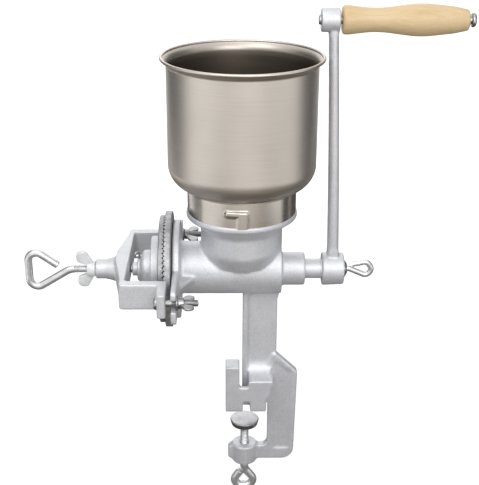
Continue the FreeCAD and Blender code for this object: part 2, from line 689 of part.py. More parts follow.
def foot(body):
    top = sole + size.foot_high
    hip = size.foot_top_right - size.foot_ledge
    block = new_sketch(body)
    outline(block, [
        (size.foot_left, sole), (size.foot_right, sole),
        (size.foot_right, sole + size.foot_waist, size.cast_round),
        (hip, sole + size.foot_hip, size.cast_round),
        (hip, top - size.foot_band - size.foot_ledge, size.edge_round),
        (size.foot_top_right, top - size.foot_band, size.edge_round),
        (size.foot_top_right, top, size.cast_round), (size.foot_left, top, size.cast_round),
    ])
    pad(body, block, size.foot_deep, Midplane=True)
    bar = new_sketch(body, "XZ", -front)
    box_outline(bar, -size.bar_left, sole, size.bar_wide - size.bar_left, sole + size.bar_high)
    pad(body, bar, size.bar_deep, Reversed=True)
    bridge = new_sketch(body, "XZ", -front)
    box_outline(bridge, size.bar_wide - size.bar_left - PAST, sole, size.foot_left + PAST,
                sole + size.bridge_high)
    pad(body, bridge, size.bridge_deep, Reversed=True)
    fillet = new_sketch(body, "YZ", size.foot_left)
    web = size.post_web / 2
    ramp = web + size.foot_fillet + PAST
    climb = top + size.foot_fillet + PAST
    outline(fillet, [
        (-ramp, top - PAST), (ramp, top - PAST), (ramp, top), (web, top, size.foot_fillet),
        (web, climb), (-web, climb), (-web, top, size.foot_fillet), (-ramp, top),
    ])
    pad(body, fillet, hip - size.foot_left)
    notch = new_sketch(body, "XZ", -front)
    outline(notch, [
        (size.notch_left, sole - PAST), (size.notch_right, sole - PAST),
        (size.notch_right, sole + size.notch_high, size.notch_round),
        (size.notch_left, sole + size.notch_high, size.notch_round),
    ])
    pocket(body, notch, size.notch_deep)
    web = new_sketch(body, "XZ", -front - size.notch_deep)
    box_outline(web, -size.sole_web_left, sole, size.foot_left + PAST, sole + size.sole_web_high)
    pad(body, web, size.sole_web_deep, Reversed=True)


def clamp_arm(body):
    low = sole - size.arm_low
    jaw = sole - size.jaw_opening
    inside = size.foot_right - size.arm_sunk
    peak = sole + size.arm_peak
    boss_low = low - size.clamp_boss_rise
    boss_high = jaw + size.clamp_boss_rise
    plate = new_sketch(body)
    outline(plate, [
        (size.arm_inside, sole), (inside, sole), (inside, sole + size.foot_high - size.arm_sunk),
        (size.post_right - size.arm_sunk, peak), (size.post_right, peak, size.cast_round),
        (size.arm_outside, sole + size.arm_shoulder, size.arm_round),
        (size.arm_outside - size.arm_draft, low, size.arm_corner),
        (-size.jaw_left, low, size.jaw_round), (-size.jaw_left, jaw, size.jaw_round),
        (size.arm_inside, jaw, size.arm_round),
    ])
    pad(body, plate, size.arm_thick, Midplane=True)
    boss = new_sketch(body, "XY", boss_low)
    circle(boss, size.clamp_place, 0, size.clamp_boss_radius)
    pad(body, boss, boss_high - boss_low)
    for side in (-1, 1):
        panel = new_sketch(body, "XZ", side * size.arm_thick / 2)
        left = size.arm_inside + size.arm_border
        right = size.arm_outside - size.arm_border
        outline(panel, [
            (left, low + size.arm_border * 2, size.cast_round),
            (right, low + size.arm_border * 2, size.cast_round),
            (right, sole + size.panel_right_high, size.cast_round),
            (left, sole + size.panel_left_high, size.cast_round),
        ])
        pocket(body, panel, size.arm_recess, Reversed=side < 0)
    tapped = new_sketch(body, "XY", boss_low - PAST)
    circle(tapped, size.clamp_place, 0, size.clamp_rod + size.running_gap)
    pocket(body, tapped, boss_high - boss_low + PAST * 2, Reversed=True)


def plate_screw_holes(body, distance, start, end, turn):
    """Three tapped holes along the shaft's direction, evenly spaced from the angle turn."""
    sketch = new_sketch(body, "YZ", start)
    spots = [(distance * math.cos(a), distance * math.sin(a)) for a in thirds(turn)]
    for y, z in spots:
        circle(sketch, y, z, size.screw_radius + size.running_gap)
    pocket(body, sketch, end - start, Reversed=True)


def thirds(turn):
    return [math.radians(turn + 120 * i) for i in range(3)]


# Angles of the first plate screw, in degrees from the rear
FIXED_SCREW_TURN = 90
MOVING_SCREW_TURN = 30

mill_body = new_body("mill_body")
barrel_and_flange(mill_body)
ears(mill_body)
gussets(mill_body)
neck(mill_body)
lugs(mill_body)
post(mill_body)
foot(mill_body)
clamp_arm(mill_body)
chamber(mill_body)
plate_screw_holes(mill_body, size.fixed_screw_place, seat_face - PAST, flange_back + PAST,
                  FIXED_SCREW_TURN)

# Hopper: a spun bowl with a rolled rim, and the collar that drops over the spigot

collar_inside = size.collar_radius - size.bowl_wall
collar_top = size.ring_top + size.collar_high


def hopper_bowl():
    body = new_body("hopper_bowl")
    bead = size.rim_radius - size.bead_radius
    rim_height = size.crank_throw - size.crank_top_radius - size.rim_clearance
    bead_height = rim_height - size.bead_radius
    inner = size.bowl_radius - size.bowl_wall
    skirt = collar_inside - size.bowl_wall
    flare = bead_height - size.bowl_flare
    leave = collar_top + size.bowl_foot
    shell = new_sketch(body)
    outline(shell, [
        (skirt, collar_top - size.collar_lap), (collar_inside, collar_top - size.collar_lap),
        (collar_inside, leave, size.bowl_foot_round), (size.bowl_radius, size.bowl_turn, size.bowl_round),
        (size.bowl_radius, flare, size.bowl_flare), (bead, bead_height - size.bowl_wall),
        (bead, bead_height + size.bowl_wall / 2), (inner, flare + size.bowl_wall, size.bowl_flare),
        (inner, size.bowl_turn + size.bowl_wall, size.bowl_round - size.bowl_wall),
        (skirt, leave + size.bowl_wall, size.bowl_foot_round),
    ])
    revolve(body, shell, "V_Axis")
    rim = new_sketch(body)
    circle(rim, bead, bead_height, size.bead_radius)
    revolve(body, rim, "V_Axis")


def solid_box(name, low, high):
    """A box between two corners, each given as sizes about the shaft's crossing point."""
    item = doc.addObject("Part::Box", name)
    for i, (side, axis) in enumerate((("Length", "x"), ("Width", "y"), ("Height", "z"))):
        bind(item, side, high[i] - low[i])
        bind(item, "Placement.Base." + axis, low[i])
    return item


def solid_tube(name, radius, low, high):
    item = doc.addObject("Part::Cylinder", name)
    bind(item, "Radius", radius)
    bind(item, "Height", high - low)
    bind(item, "Placement.Base.z", low)
    return item


def joined(kind, name, first, second):
    item = doc.addObject("Part::" + kind, name)
    item.Base = first
    item.Tool = second
    return item


def channel(name, wall, side, outer):
    """The L of one bayonet channel, grown by wall, out to the radius outer."""
    half = size.channel_wide / 2
    top = size.ring_top + size.channel_top
    reach = size.collar_radius + size.emboss_rise + PAST
    inner = size.collar_radius / 2
    sides = (-reach, -inner) if side < 0 else (inner, reach)
    left = half - size.channel_length if side < 0 else -half
    right = half if side < 0 else size.channel_length - half
    cross = solid_box(
        name + "_cross", (left - wall, sides[0], top - size.channel_high - wall),
        (right + wall, sides[1], top + wall))
    upright = solid_box(
        name + "_upright", (-half - wall, sides[0], size.ring_top - PAST),
        (half + wall, sides[1], top + wall))
    shape = joined("Fuse", name + "_shape", cross, upright)
    drum = solid_tube(name + "_drum", outer, size.ring_top, collar_top)
    return joined("Common", name, shape, drum)


def hopper_collar():
    raised = size.collar_radius + size.emboss_rise
    item = solid_tube("collar_outside", size.collar_radius, size.ring_top, collar_top)
    for side, name in ((-1, "front"), (1, "back")):
        shell = channel(f"{name}_channel", size.bowl_wall, side, raised)
        item = joined("Fuse", f"collar_with_{name}", item, shell)
    for side, name in ((-1, "front"), (1, "back")):
        hollow = channel(f"{name}_hollow", 0, side, raised - size.bowl_wall)
        item = joined("Cut", f"collar_less_{name}", item, hollow)
    inside = solid_tube("collar_inside", collar_inside, size.ring_top - PAST, collar_top + PAST)
    collar = joined("Cut", "hopper_collar", item, inside)
    collar.Label = "hopper_collar"
    place(collar)
    NODES.append(collar)


hopper_bowl()
hopper_collar()

# Grinding plates, their carrier and their screws

fixed_back = seat_face
fixed_front = fixed_back - size.fixed_plate_thick
moving_front = fixed_front - size.plate_gap
moving_back = moving_front - size.moving_plate_thick
carrier_back = moving_back - size.carrier_thick
hub_end = moving_back - size.hub_length
split_pin_place = hub_end + size.split_pin_inset


def tooth_grooves(body, face, direction, rim, count):
    """One V groove in the plate's face, repeated round the plate."""
    sketch = new_sketch(body, "XZ", rim + PAST)
    half = size.tooth_half * (size.tooth_deep + PAST) / size.tooth_deep
    outline(sketch, [
        (face - direction * PAST, -half), (face + direction * size.tooth_deep, 0),
        (face - direction * PAST, half),
    ])
    cut = pocket(body, sketch, rim + PAST - size.tooth_start)
    pattern(body, cut, count)


def plate_countersinks(body, distance, face, direction, turn):
    """Round seats for the heads of three screws in a plate's grinding face."""
    for angle in thirds(turn):
        y = distance * math.cos(angle)
        z = distance * math.sin(angle)
        sketch = new_sketch(body, "YZ", face - direction * PAST)
        circle(sketch, y, z, size.screw_head + size.running_gap)
        pocket(body, sketch, size.screw_sink + PAST, Reversed=direction > 0)


def grinding_plate(label, face, back, radius, bore, distance, turn, count, lead=0):
    """A toothed plate whose grooves lead those of a plate that starts straight ahead."""
    body = new_body(label, turn=about_x(lead))
    turn = turn - lead
    direction = 1 if number(back) > number(face) else -1
    turned(body, [(face, bore), (face, radius), (back, radius, size.fine_round), (back, bore)])
    plate_screw_holes(body, distance, face if direction > 0 else back,
                      back if direction > 0 else face, turn)
    plate_countersinks(body, distance, face, direction, turn)
    tooth_grooves(body, face, direction, radius, count)


def plate_screws(label, distance, face, direction, tip, turn):
    """Three sunk screws with slotted heads, each a solid of its own in one node."""
    solids = []
    below = size.screw_below.value
    wide = size.screw_slot_wide.value
    deep = size.screw_slot_deep.value
    head_radius = size.screw_head.value
    for angle in thirds(turn):
        y = distance.value * math.cos(angle)
        z = distance.value * math.sin(angle)
        start = Vector(face.value + direction * below, y, z)
        along = Vector(direction, 0, 0)
        head = Part.makeCylinder(head_radius, size.screw_sink.value - below, start, along)
        shank = Part.makeCylinder(size.screw_radius.value, abs(tip.value - start.x), start, along)
        slot = Part.makeBox(deep * 2, head_radius * 3, wide)
        slot.translate(Vector(start.x - deep, y - head_radius * 1.5, z - wide / 2))
        solids.append(head.fuse(shank).cut(slot))
    item = doc.addObject("Part::Feature", label)
    item.Label = label
    item.Shape = Part.makeCompound(solids)
    place(item)
    NODES.append(item)


def split_pin_hole(body, across):
    sketch = new_sketch(body, "XY")
    circle(sketch, split_pin_place, 0, size.split_pin_radius + size.pin_gap)
    pocket(body, sketch, across + PAST * 2, Midplane=True)


def plate_carrier():
    body = new_body("plate_carrier")
    hub_start = carrier_back - size.carrier_groove
    turned(body, [
        (moving_back, 0), (moving_back, size.carrier_radius, size.edge_round),
        (carrier_back, size.carrier_radius, size.edge_round),
        (carrier_back, size.carrier_waist), (hub_start, size.carrier_waist),
        (hub_start, size.hub_radius, size.fine_round),
        (hub_end + size.hub_nose_length, size.hub_radius, size.hub_round),
        (hub_end + size.hub_nose_length, size.hub_nose), (hub_end, size.hub_nose, size.edge_round),
        (hub_end, 0),
    ])
    half = size.drive_square / 2 + size.running_gap
    sketch = new_sketch(body, "YZ", hub_end - PAST)
    box_outline(sketch, -half, -half, half, half)
    pocket(body, sketch, size.hub_length + PAST * 2, Reversed=True)
    plate_screw_holes(body, size.moving_screw_place, carrier_back - PAST, moving_back, MOVING_SCREW_TURN)
    split_pin_hole(body, size.hub_radius * 2)


grinding_plate("fixed_grind_plate", fixed_front, fixed_back, size.fixed_plate_radius,
               size.fixed_plate_bore, size.fixed_screw_place, FIXED_SCREW_TURN,
               size.fixed_tooth_count, 180 / size.fixed_tooth_count.value)
grinding_plate("moving_grind_plate", moving_front, moving_back, size.moving_plate_radius,
               size.shaft_radius + size.moving_plate_gap, size.moving_screw_place, MOVING_SCREW_TURN,
               size.moving_tooth_count)
plate_carrier()
plate_screws("fixed_plate_screws", size.fixed_screw_place, fixed_front, 1,
             flange_back - size.screw_short, FIXED_SCREW_TURN)
plate_screws("moving_plate_screws", size.moving_screw_place, moving_front, -1,
             carrier_back + size.screw_short, MOVING_SCREW_TURN)

# Auger, split pin and thrust ball

tail_end = hub_end - size.tail_length
crank_end = size.crank_place + size.crank_hub_length
square_end = crank_end - size.square_short
ball_middle = tail_end + size.ball_seat - size.ball_radius


def auger_shaft():
    body = new_body("auger_shaft")
    core = size.drive_square / 2 - size.core_step
    turned(body, [
        (tail_end, 0), (tail_end, size.tail_radius, size.fine_round), (hub_end, size.tail_radius),
        (hub_end, core), (moving_back, core), (moving_back, size.shaft_radius),
        (size.crank_place, size.shaft_radius), (size.crank_place, core), (square_end, core),
        (square_end, 0),
    ])
    half = size.drive_square / 2
    for start, end in ((hub_end, moving_back), (size.crank_place, square_end)):
        square = new_sketch(body, "YZ", start)
        box_outline(square, -half, -half, half, half)
        pad(body, square, end - start)
    tapped = new_sketch(body, "YZ", square_end - size.crank_screw_depth)
    circle(tapped, 0, 0, size.crank_screw_radius + size.running_gap)
    pocket(body, tapped, size.crank_screw_depth + PAST, Reversed=True)
    bored(body, tail_end - PAST, tail_end + size.ball_seat + size.running_gap,
          size.ball_radius + size.ball_gap)
    split_pin_hole(body, size.drive_square)
    rim = size.barrel_bore - size.flight_gap
    root = size.shaft_radius - PAST
    start = flange_face + size.flight_start
    end = start + size.flight_thick
    flight = new_sketch(body)
    outline(flight, [
        (start, root), (end, root), (end - size.flight_taper, rim), (start + size.flight_taper, rim),
    ])
    feature(body, "AdditiveHelix", flight, ReferenceAxis=(flight, ["H_Axis"]), Mode=1,
            Pitch=size.flight_pitch, Turns=size.flight_turns)


# Angle of the split pin's eye about the pin, in degrees
SPLIT_PIN_TURN = 40


def split_pin():
    body = new_body("split_pin", x=split_pin_place, turn=Rotation(Vector(0, 0, 1), SPLIT_PIN_TURN))
    low = size.split_pin_lift
    high = low + size.split_pin_eye * 2
    far = -size.split_pin_eye * 2
    bend = size.split_pin_round
    wire_pipe(body, size.split_pin_radius, [
        (0, -size.split_pin_tail), (0, high, bend), (far, high, bend), (far, low, bend),
        (-size.split_pin_end, low),
    ], start_plane="XY")


def thrust_ball():
    ball = doc.addObject("Part::Sphere", "thrust_ball")
    ball.Label = "thrust_ball"
    bind(ball, "Radius", size.ball_radius)
    place(ball, x=ball_middle)
    NODES.append(ball)


auger_shaft()
split_pin()
thrust_ball()

# Yoke with its bolts, washers and wing nuts

yoke_face = tail_end - size.yoke_gap
arm_face = size.fixed_plate_radius + size.yoke_arm_gap
ear_face = flange_face - size.yoke_ear_gap
ear_back = ear_face - size.yoke_ear_thick
yoke_middle = yoke_face - size.yoke_mid
boss_start = yoke_middle - size.yoke_boss_flare
boss_face = boss_start - size.yoke_boss_length


def yoke():
    body = new_body("yoke")
    arm = arm_face + size.yoke_arm_thick
    web = yoke_face - size.yoke_web
    low = size.barrel_lift - size.yoke_high / 2
    half = [
        (ear_face, arm_face), (ear_face, ear_reach, size.cast_round),
        (ear_back, ear_reach, size.cast_round), (ear_back, arm, size.cast_round),
        (web, arm, size.yoke_corner), (web, arm - size.yoke_shoulder, size.yoke_sweep),
        (yoke_middle, size.yoke_mid_half, size.yoke_sweep),
    ]
    corners = half + [(x, -y, *r) for x, y, *r in reversed(half)]
    corners += [
        (yoke_face, side * arm_face, size.yoke_inner_round) for side in (-1, 1)]
    plan = new_sketch(body, "XY", low)
    outline(plan, corners)
    pad(body, plan, size.yoke_high)
    turned(body, [
        (boss_face, 0), (boss_face, size.yoke_boss_radius, size.edge_round),
        (boss_start, size.yoke_boss_radius, size.yoke_sweep),
        (yoke_middle + PAST, size.yoke_high / 2), (yoke_middle + PAST, 0),
    ])
    below = new_sketch(body, "YZ", ear_back - PAST)
    inner = arm + size.edge_round
    outer = ear_reach + PAST
    for side in (-1, 1):
        outline(below, [
            (side * inner, low - PAST), (side * inner, low + size.yoke_ear_rise, size.edge_round),
            (side * outer, low + size.yoke_ear_rise), (side * outer, low - PAST),
        ])
    pocket(body, below, size.yoke_ear_thick + PAST * 2, Reversed=True)
    bored(body, boss_face - PAST, yoke_face + PAST, size.rod_radius + size.running_gap)
    holes = new_sketch(body, "YZ", ear_back - PAST)
    for side in (-1, 1):
        circle(holes, side * size.bolt_offset, bolt_height, size.bolt_radius + size.bolt_gap)
    pocket(body, holes, size.yoke_ear_thick + PAST * 2, Reversed=True)


def yoke_bolt(label, side):
    body = new_body(label, ear_back, side * size.bolt_offset, size.shaft_height + bolt_height)
    turned(body, [
        (-size.bolt_head_high, 0), (-size.bolt_head_high, size.bolt_head, size.bolt_dome),
        (0, size.bolt_head), (0, size.bolt_radius), (size.bolt_length, size.bolt_radius, size.fine_round),
        (size.bolt_length, 0),
    ])


def ring_washer(label, side):
    body = new_body(label, ear_rear, side * size.bolt_offset, size.shaft_height + bolt_height)
    bore = size.bolt_radius + size.bolt_gap
    turned(body, [
        (0, bore), (0, size.washer_radius), (size.washer_thick, size.washer_radius, size.washer_round),
        (size.washer_thick, bore),
    ])


# Shape of a wing nut's wings, as shares of the nut's height or of a wing's width
WING_START = 0.1
WING_WIDEST = 0.46
WING_DIP = 0.92
WING_ROUNDS = (0.42, 0.44, 0.36)


def wing_nut(label, hub, hub_high, span, rise, thick, bore, spot, turn):
    """A nut whose two wings lie in its own XZ plane and sweep away from its seat at x = 0."""
    body = new_body(label, *spot, turn=turn)
    turned(body, [
        (0, 0), (0, hub, size.fine_round), (hub_high, hub - size.edge_round, size.fine_round),
        (hub_high, 0),
    ])
    wide = span - hub
    root = hub - size.wing_root
    lower, outer, upper = [wide * share for share in WING_ROUNDS]
    wings = new_sketch(body)
    for side in (-1, 1):
        outline(wings, [
            (size.fine_round, side * root), (size.fine_round + (rise - hub_high) * WING_START, side * hub),
            (rise * WING_WIDEST, side * span, lower), (rise, side * (span - size.edge_round), outer),
            (rise * WING_DIP, side * (hub + size.edge_round), upper),
            (hub_high - size.fine_round, side * root),
        ])
    pad(body, wings, thick, Midplane=True)
    bored(body, -PAST, rise + PAST, bore)


# Angles at which the wing nuts stand, in degrees about the shaft's direction
FRONT_NUT_TURN = 90
REAR_NUT_TURN = 100
LOCK_NUT_TURN = -12

yoke()
for side, name, turn in ((-1, "front", FRONT_NUT_TURN), (1, "rear", REAR_NUT_TURN)):
    yoke_bolt(name + "_yoke_bolt", side)
    ring_washer(name + "_bolt_washer", side)
    wing_nut(
        name + "_wing_nut", size.wing_hub, size.wing_hub_high, size.wing_span, size.wing_rise,
        size.wing_thick, size.bolt_radius + size.running_gap,
        (ear_rear + size.washer_thick, side * size.bolt_offset, size.shaft_height + bolt_height),
        about_x(turn))

# Adjusting screw with its lock nut

screw_tip = ball_middle - size.ball_radius


def loop_corners(start, length, half, opened, bend, loop_round):
    """A bent rod: a stem that starts at 0, then an open triangular loop beyond start."""
    far = start + length
    return [
        (0, 0), (start, 0, bend), (far, half, loop_round), (far, -half, loop_round),
        (far - opened, -size.loop_end),
    ]


def adjusting_screw():
    body = new_body("adjusting_screw", x=screw_tip, turn=Rotation(Vector(0, 1, 0), 180))
    corners = loop_corners(size.rod_stem, size.loop_length, size.loop_half, size.loop_open,
                           size.loop_bend, size.loop_round)
    wire_pipe(body, size.rod_radius, corners)


adjusting_screw()
wing_nut("lock_wing_nut", size.lock_hub, size.lock_hub_high, size.lock_span, size.lock_rise,
         size.lock_thick, size.rod_radius + size.running_gap,
         (boss_face - size.lock_gap, 0, size.shaft_height),
         Rotation(Vector(0, 0, 1), 180).multiply(about_x(LOCK_NUT_TURN)))

# Crank, its screw and the wooden grip on its pin

top_end = size.crank_top_place + size.crank_top_length
grip_start = top_end + size.grip_gap
grip_end = grip_start + size.grip_length


def crank_arm():
    body = new_body("crank_arm")
    turned(body, [
        (size.crank_place, 0), (size.crank_place, size.crank_hub_radius, size.edge_round),
        (crank_end, size.crank_hub_radius - size.crank_hub_draft, size.edge_round), (crank_end, 0),
    ])
    foot_x = size.crank_place + size.crank_hub_length / 2
    sections = [
        (size.crank_bar_start, foot_x, size.crank_bar_low),
        (size.crank_throw / 2, foot_x - size.crank_lean / 2 + size.crank_bow,
         (size.crank_bar_low + size.crank_bar_top) / 2),
        (size.crank_throw - size.crank_bar_end, foot_x - size.crank_lean, size.crank_bar_top),
    ]
    sketches = []
    for height, middle, thick in sections:
        section = new_sketch(body, "XY", height)
        half = size.crank_bar_wide / 2
        outline(section, [
            (middle + side_x * thick / 2, side_y * half, size.crank_bar_round)
            for side_x, side_y in ((-1, -1), (1, -1), (1, 1), (-1, 1))
        ])
        sketches.append(section)
    feature(body, "AdditiveLoft", sketches[0], Sections=sketches[1:])
    hub = new_sketch(body, "YZ", size.crank_top_place)
    circle(hub, 0, size.crank_throw, size.crank_top_radius)
    pad(body, hub, size.crank_top_length)
    hole = new_sketch(body, "YZ", size.crank_top_place - PAST)
    circle(hole, 0, size.crank_throw, size.pin_radius + size.running_gap)
    pocket(body, hole, size.crank_top_length + PAST * 2, Reversed=True)
    half = size.drive_square / 2 + size.running_gap
    square = new_sketch(body, "YZ", size.crank_place - PAST)
    box_outline(square, -half, -half, half, half)
    pocket(body, square, square_end - size.crank_place + PAST, Reversed=True)
    bored(body, size.crank_place, crank_end + PAST, size.crank_screw_radius + size.crank_screw_gap)


def crank_washer():
    body = new_body("crank_washer", x=crank_end)
    inner = size.crank_screw_radius + size.crank_screw_gap
    turned(body, [
        (0, inner), (0, size.cup_radius), (size.cup_edge, size.cup_radius),
        (size.cup_high, inner + size.cup_land), (size.cup_high, inner),
    ])


def crank_screw():
    tip = square_end - size.crank_screw_depth + size.crank_screw_short
    stem = crank_end + size.cup_high + PAST - tip
    body = new_body("crank_screw", x=tip)
    turned(body, [(0, 0), (0, size.crank_screw_radius), (stem, size.crank_screw_radius), (stem, 0)])
    far = stem + size.eye_length
    bend = size.eye_round
    wire_pipe(body, size.eye_wire, [
        (stem - PAST, 0), (stem + PAST, 0, bend), (far - bend, -size.eye_half - PAST, bend),
        (far, -PAST, bend), (far - bend, size.eye_half + PAST / 2, bend),
        (stem + size.eye_end, size.eye_end),
    ])


def handle_pin():
    body = new_body("handle_pin", z=size.shaft_height + size.crank_throw)
    start = size.crank_top_place - size.pin_rivet_high
    end = grip_end + size.pin_end_gap
    turned(body, [
        (start, 0), (start, size.pin_rivet, size.edge_round), (size.crank_top_place, size.pin_rivet),
        (size.crank_top_place, size.pin_radius), (end, size.pin_radius),
        (end, size.pin_head, size.edge_round), (end + size.pin_head_high, size.pin_head, size.pin_dome),
        (end + size.pin_head_high, 0),
    ])


def wooden_grip():
    body = new_body("wooden_grip", z=size.shaft_height + size.crank_throw)
    bore = size.pin_radius + size.bolt_gap
    shoulder = size.grip_far + size.grip_end_round
    turned(body, [
        (grip_start, bore), (grip_start, size.grip_near, size.grip_end_round),
        (grip_start + size.grip_lip, size.grip_near, size.grip_sweep / 4),
        (grip_start + size.grip_neck_place, size.grip_neck, size.grip_sweep),
        (grip_start + size.grip_belly_place, size.grip_belly, size.grip_sweep),
        (grip_end - size.grip_taper, shoulder, size.grip_sweep / 2),
        (grip_end, size.grip_far, size.grip_end_round), (grip_end, bore),
    ])


crank_arm()
crank_washer()
crank_screw()
handle_pin()
wooden_grip()

# Clamp screw and its pad, drawn about the clamp screw's axis with the table's underside at rest

table_under = -size.clamp_grip


def clamp_pad():
    body = new_body("clamp_pad", x=size.clamp_place, z=table_under)
    sketch = new_sketch(body)
    socket = size.clamp_neck_radius + size.pin_gap
    outline(sketch, [
        (0, 0), (size.pad_radius, 0, size.edge_round),
        (size.pad_radius - size.pad_draft, -size.pad_thick, size.edge_round),
        (socket, -size.pad_thick), (socket, size.pad_socket - size.pad_thick),
        (0, size.pad_socket - size.pad_thick),
    ])
    revolve(body, sketch, "V_Axis")


def clamp_screw():
    tip = table_under - size.pad_thick + size.pad_socket - size.pad_end_gap
    body = new_body("clamp_screw", x=size.clamp_place, z=tip)
    neck_end = -size.pad_socket - size.clamp_neck_rise
    shoulder = neck_end - (size.clamp_rod - size.clamp_neck_radius)
    rod_start = shoulder - PAST * 2
    top = new_sketch(body)
    outline(top, [
        (0, 0), (size.clamp_neck_radius, 0, size.fine_round), (size.clamp_neck_radius, neck_end),
        (size.clamp_rod, shoulder), (size.clamp_rod, rod_start), (0, rod_start),
    ])
    revolve(body, top, "V_Axis")
    corners = loop_corners(size.clamp_stem, size.clamp_loop_length, size.clamp_loop_half,
                           size.clamp_loop_open, size.clamp_bend, size.clamp_loop_round)
    corners[0] = (-rod_start - PAST, 0)
    wire_pipe(body, size.clamp_rod, [(c[1], -c[0], *c[2:]) for c in corners], start_plane="XY")


clamp_pad()
clamp_screw()

# Every object is tested before anything is written

doc.recompute()
for item in doc.Objects:
    if {"Invalid", "Error"} & set(item.State):
        raise ValueError(f"{item.Name} failed: {item.State}")
for node in NODES:
    if node.Shape.isNull() or not node.Shape.isValid() or not node.Shape.Solids:
        raise ValueError(f"{node.Label} has no valid shape")

os.makedirs("parts", exist_ok=True)
for node in NODES:
    node.Shape.exportStep(f"parts/{node.Label}.step")
    print(node.Label, len(node.Shape.Solids), round(node.Shape.Volume))
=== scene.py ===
import math

import bmesh
import bpy
import numpy as np
from mathutils import Matrix, Vector, noise


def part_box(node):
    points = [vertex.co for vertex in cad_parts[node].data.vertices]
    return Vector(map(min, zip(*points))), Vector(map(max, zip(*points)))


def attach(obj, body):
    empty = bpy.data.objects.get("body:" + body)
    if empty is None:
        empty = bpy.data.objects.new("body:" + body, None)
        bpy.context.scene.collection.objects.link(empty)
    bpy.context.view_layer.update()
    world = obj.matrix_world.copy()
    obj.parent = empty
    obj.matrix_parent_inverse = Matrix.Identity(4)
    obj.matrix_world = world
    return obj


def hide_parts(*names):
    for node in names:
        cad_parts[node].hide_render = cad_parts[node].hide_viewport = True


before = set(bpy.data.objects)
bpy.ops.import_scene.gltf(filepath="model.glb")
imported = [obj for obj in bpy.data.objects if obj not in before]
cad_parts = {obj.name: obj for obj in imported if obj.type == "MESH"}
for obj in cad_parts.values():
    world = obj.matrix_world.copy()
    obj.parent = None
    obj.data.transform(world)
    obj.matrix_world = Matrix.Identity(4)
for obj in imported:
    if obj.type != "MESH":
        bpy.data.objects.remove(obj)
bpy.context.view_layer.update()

MM = 0.001
X, Y, Z = 0, 1, 2


def extent(node, axis):
    """A CAD node's lowest and highest place along an axis, in mm rounded to 0.01."""
    low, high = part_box(node)
    return round(low[axis] / MM, 2), round(high[axis] / MM, 2)


def centre_of(node, axis):
    """The middle of a CAD node along an axis, in mm rounded to 0.01."""
    low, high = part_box(node)
    return round((low[axis] + high[axis]) / 2 / MM, 2)


# The shaft runs along X at this height, and the grip's pin lies the crank's throw above it

SHAFT = centre_of("thrust_ball", Z)
THROW = centre_of("handle_pin", Z) - SHAFT

# Small helpers


def link(name, mesh):
    item = bpy.data.objects.new(name, mesh)
    bpy.context.scene.collection.objects.link(item)
    return item


def new_mesh(name, points, faces):
    mesh = bpy.data.meshes.new(name)
    mesh.from_pydata([tuple(p) for p in points], [], [tuple(f) for f in faces])
    mesh.update()
    mesh.shade_smooth()
    return link(name, mesh)


def cleaned(item, weld=None):
    """Merges points nearer than weld, in metres, and turns all faces outward."""
    work = bmesh.new()
    work.from_mesh(item.data)
    if weld:
        bmesh.ops.remove_doubles(work, verts=work.verts, dist=weld)
    bmesh.ops.recalc_face_normals(work, faces=work.faces)
    work.to_mesh(item.data)
    work.free()
    return item


def crease_sharp(item, degrees):
    """Smooth shading that breaks at edges sharper than the angle."""
    item.data.shade_smooth()
    item.data.set_sharp_from_angle(angle=math.radians(degrees))
    return item


ARC_STEP = 0.5
ARC_TURN = 0.2
ARC_LEAST = 3


def round_corners(points):
    """A 2-D line through points (x, y) or (x, y, radius), in mm; its two ends have no radius."""
    flat = [np.array(p[:2], float) for p in points]
    line = []
    for i, point in enumerate(points):
        if len(point) < 3:
            line.append(flat[i])
            continue
        back = flat[i - 1] - flat[i]
        ahead = flat[i + 1] - flat[i]
        back /= np.linalg.norm(back)
        ahead /= np.linalg.norm(ahead)
        half = math.acos(max(-1.0, min(1.0, float(back @ ahead)))) / 2
        radius = point[2]
        tangent = radius / math.tan(half)
        bisector = (back + ahead) / np.linalg.norm(back + ahead)
        centre = flat[i] + bisector * radius / math.sin(half)
        first = flat[i] + back * tangent - centre
        turn = math.pi - 2 * half
        side = math.copysign(1, back[1] * ahead[0] - back[0] * ahead[1])
        pieces = max(ARC_LEAST, int(radius * turn / ARC_STEP), int(turn / ARC_TURN))
        for k in range(pieces + 1):
            angle = side * turn * k / pieces
            cos, sin = math.cos(angle), math.sin(angle)
            line.append(centre + np.array(
                [first[0] * cos - first[1] * sin, first[0] * sin + first[1] * cos]))
    return line


def plain(angle, along, radius):
    return radius


LATHE_WELD = 1e-7
LATHE_CREASE = 40


def lathe(name, loops, axis, steps, centre=(0, 0, SHAFT), shape=plain):
    """Closed outlines (along, radius) in mm turned about X or Z; shape may change a radius."""
    points, faces = [], []
    for loop in loops:
        start = len(points)
        rows = len(loop)
        for k in range(steps):
            angle = 2 * math.pi * k / steps
            cos, sin = math.cos(angle), math.sin(angle)
            for along, flat_radius in loop:
                radius = shape(angle, along, flat_radius)
                if axis == X:
                    spot = (along, radius * cos, radius * sin)
                else:
                    spot = (radius * cos, radius * sin, along)
                points.append([(spot[i] + centre[i]) * MM for i in range(3)])
        for k in range(steps):
            near = start + k * rows
            far = start + (k + 1) % steps * rows
            for i in range(rows):
                j = (i + 1) % rows
                faces.append((near + i, near + j, far + j, far + i))
    return crease_sharp(cleaned(new_mesh(name, points, faces), LATHE_WELD), LATHE_CREASE)


def distances(line):
    """How far along the line each of its points lies."""
    return np.concatenate([[0], np.cumsum(np.linalg.norm(np.diff(line, axis=0), axis=1))])


SWEEP_SIDES = 32
SWEEP_CREASE = 50


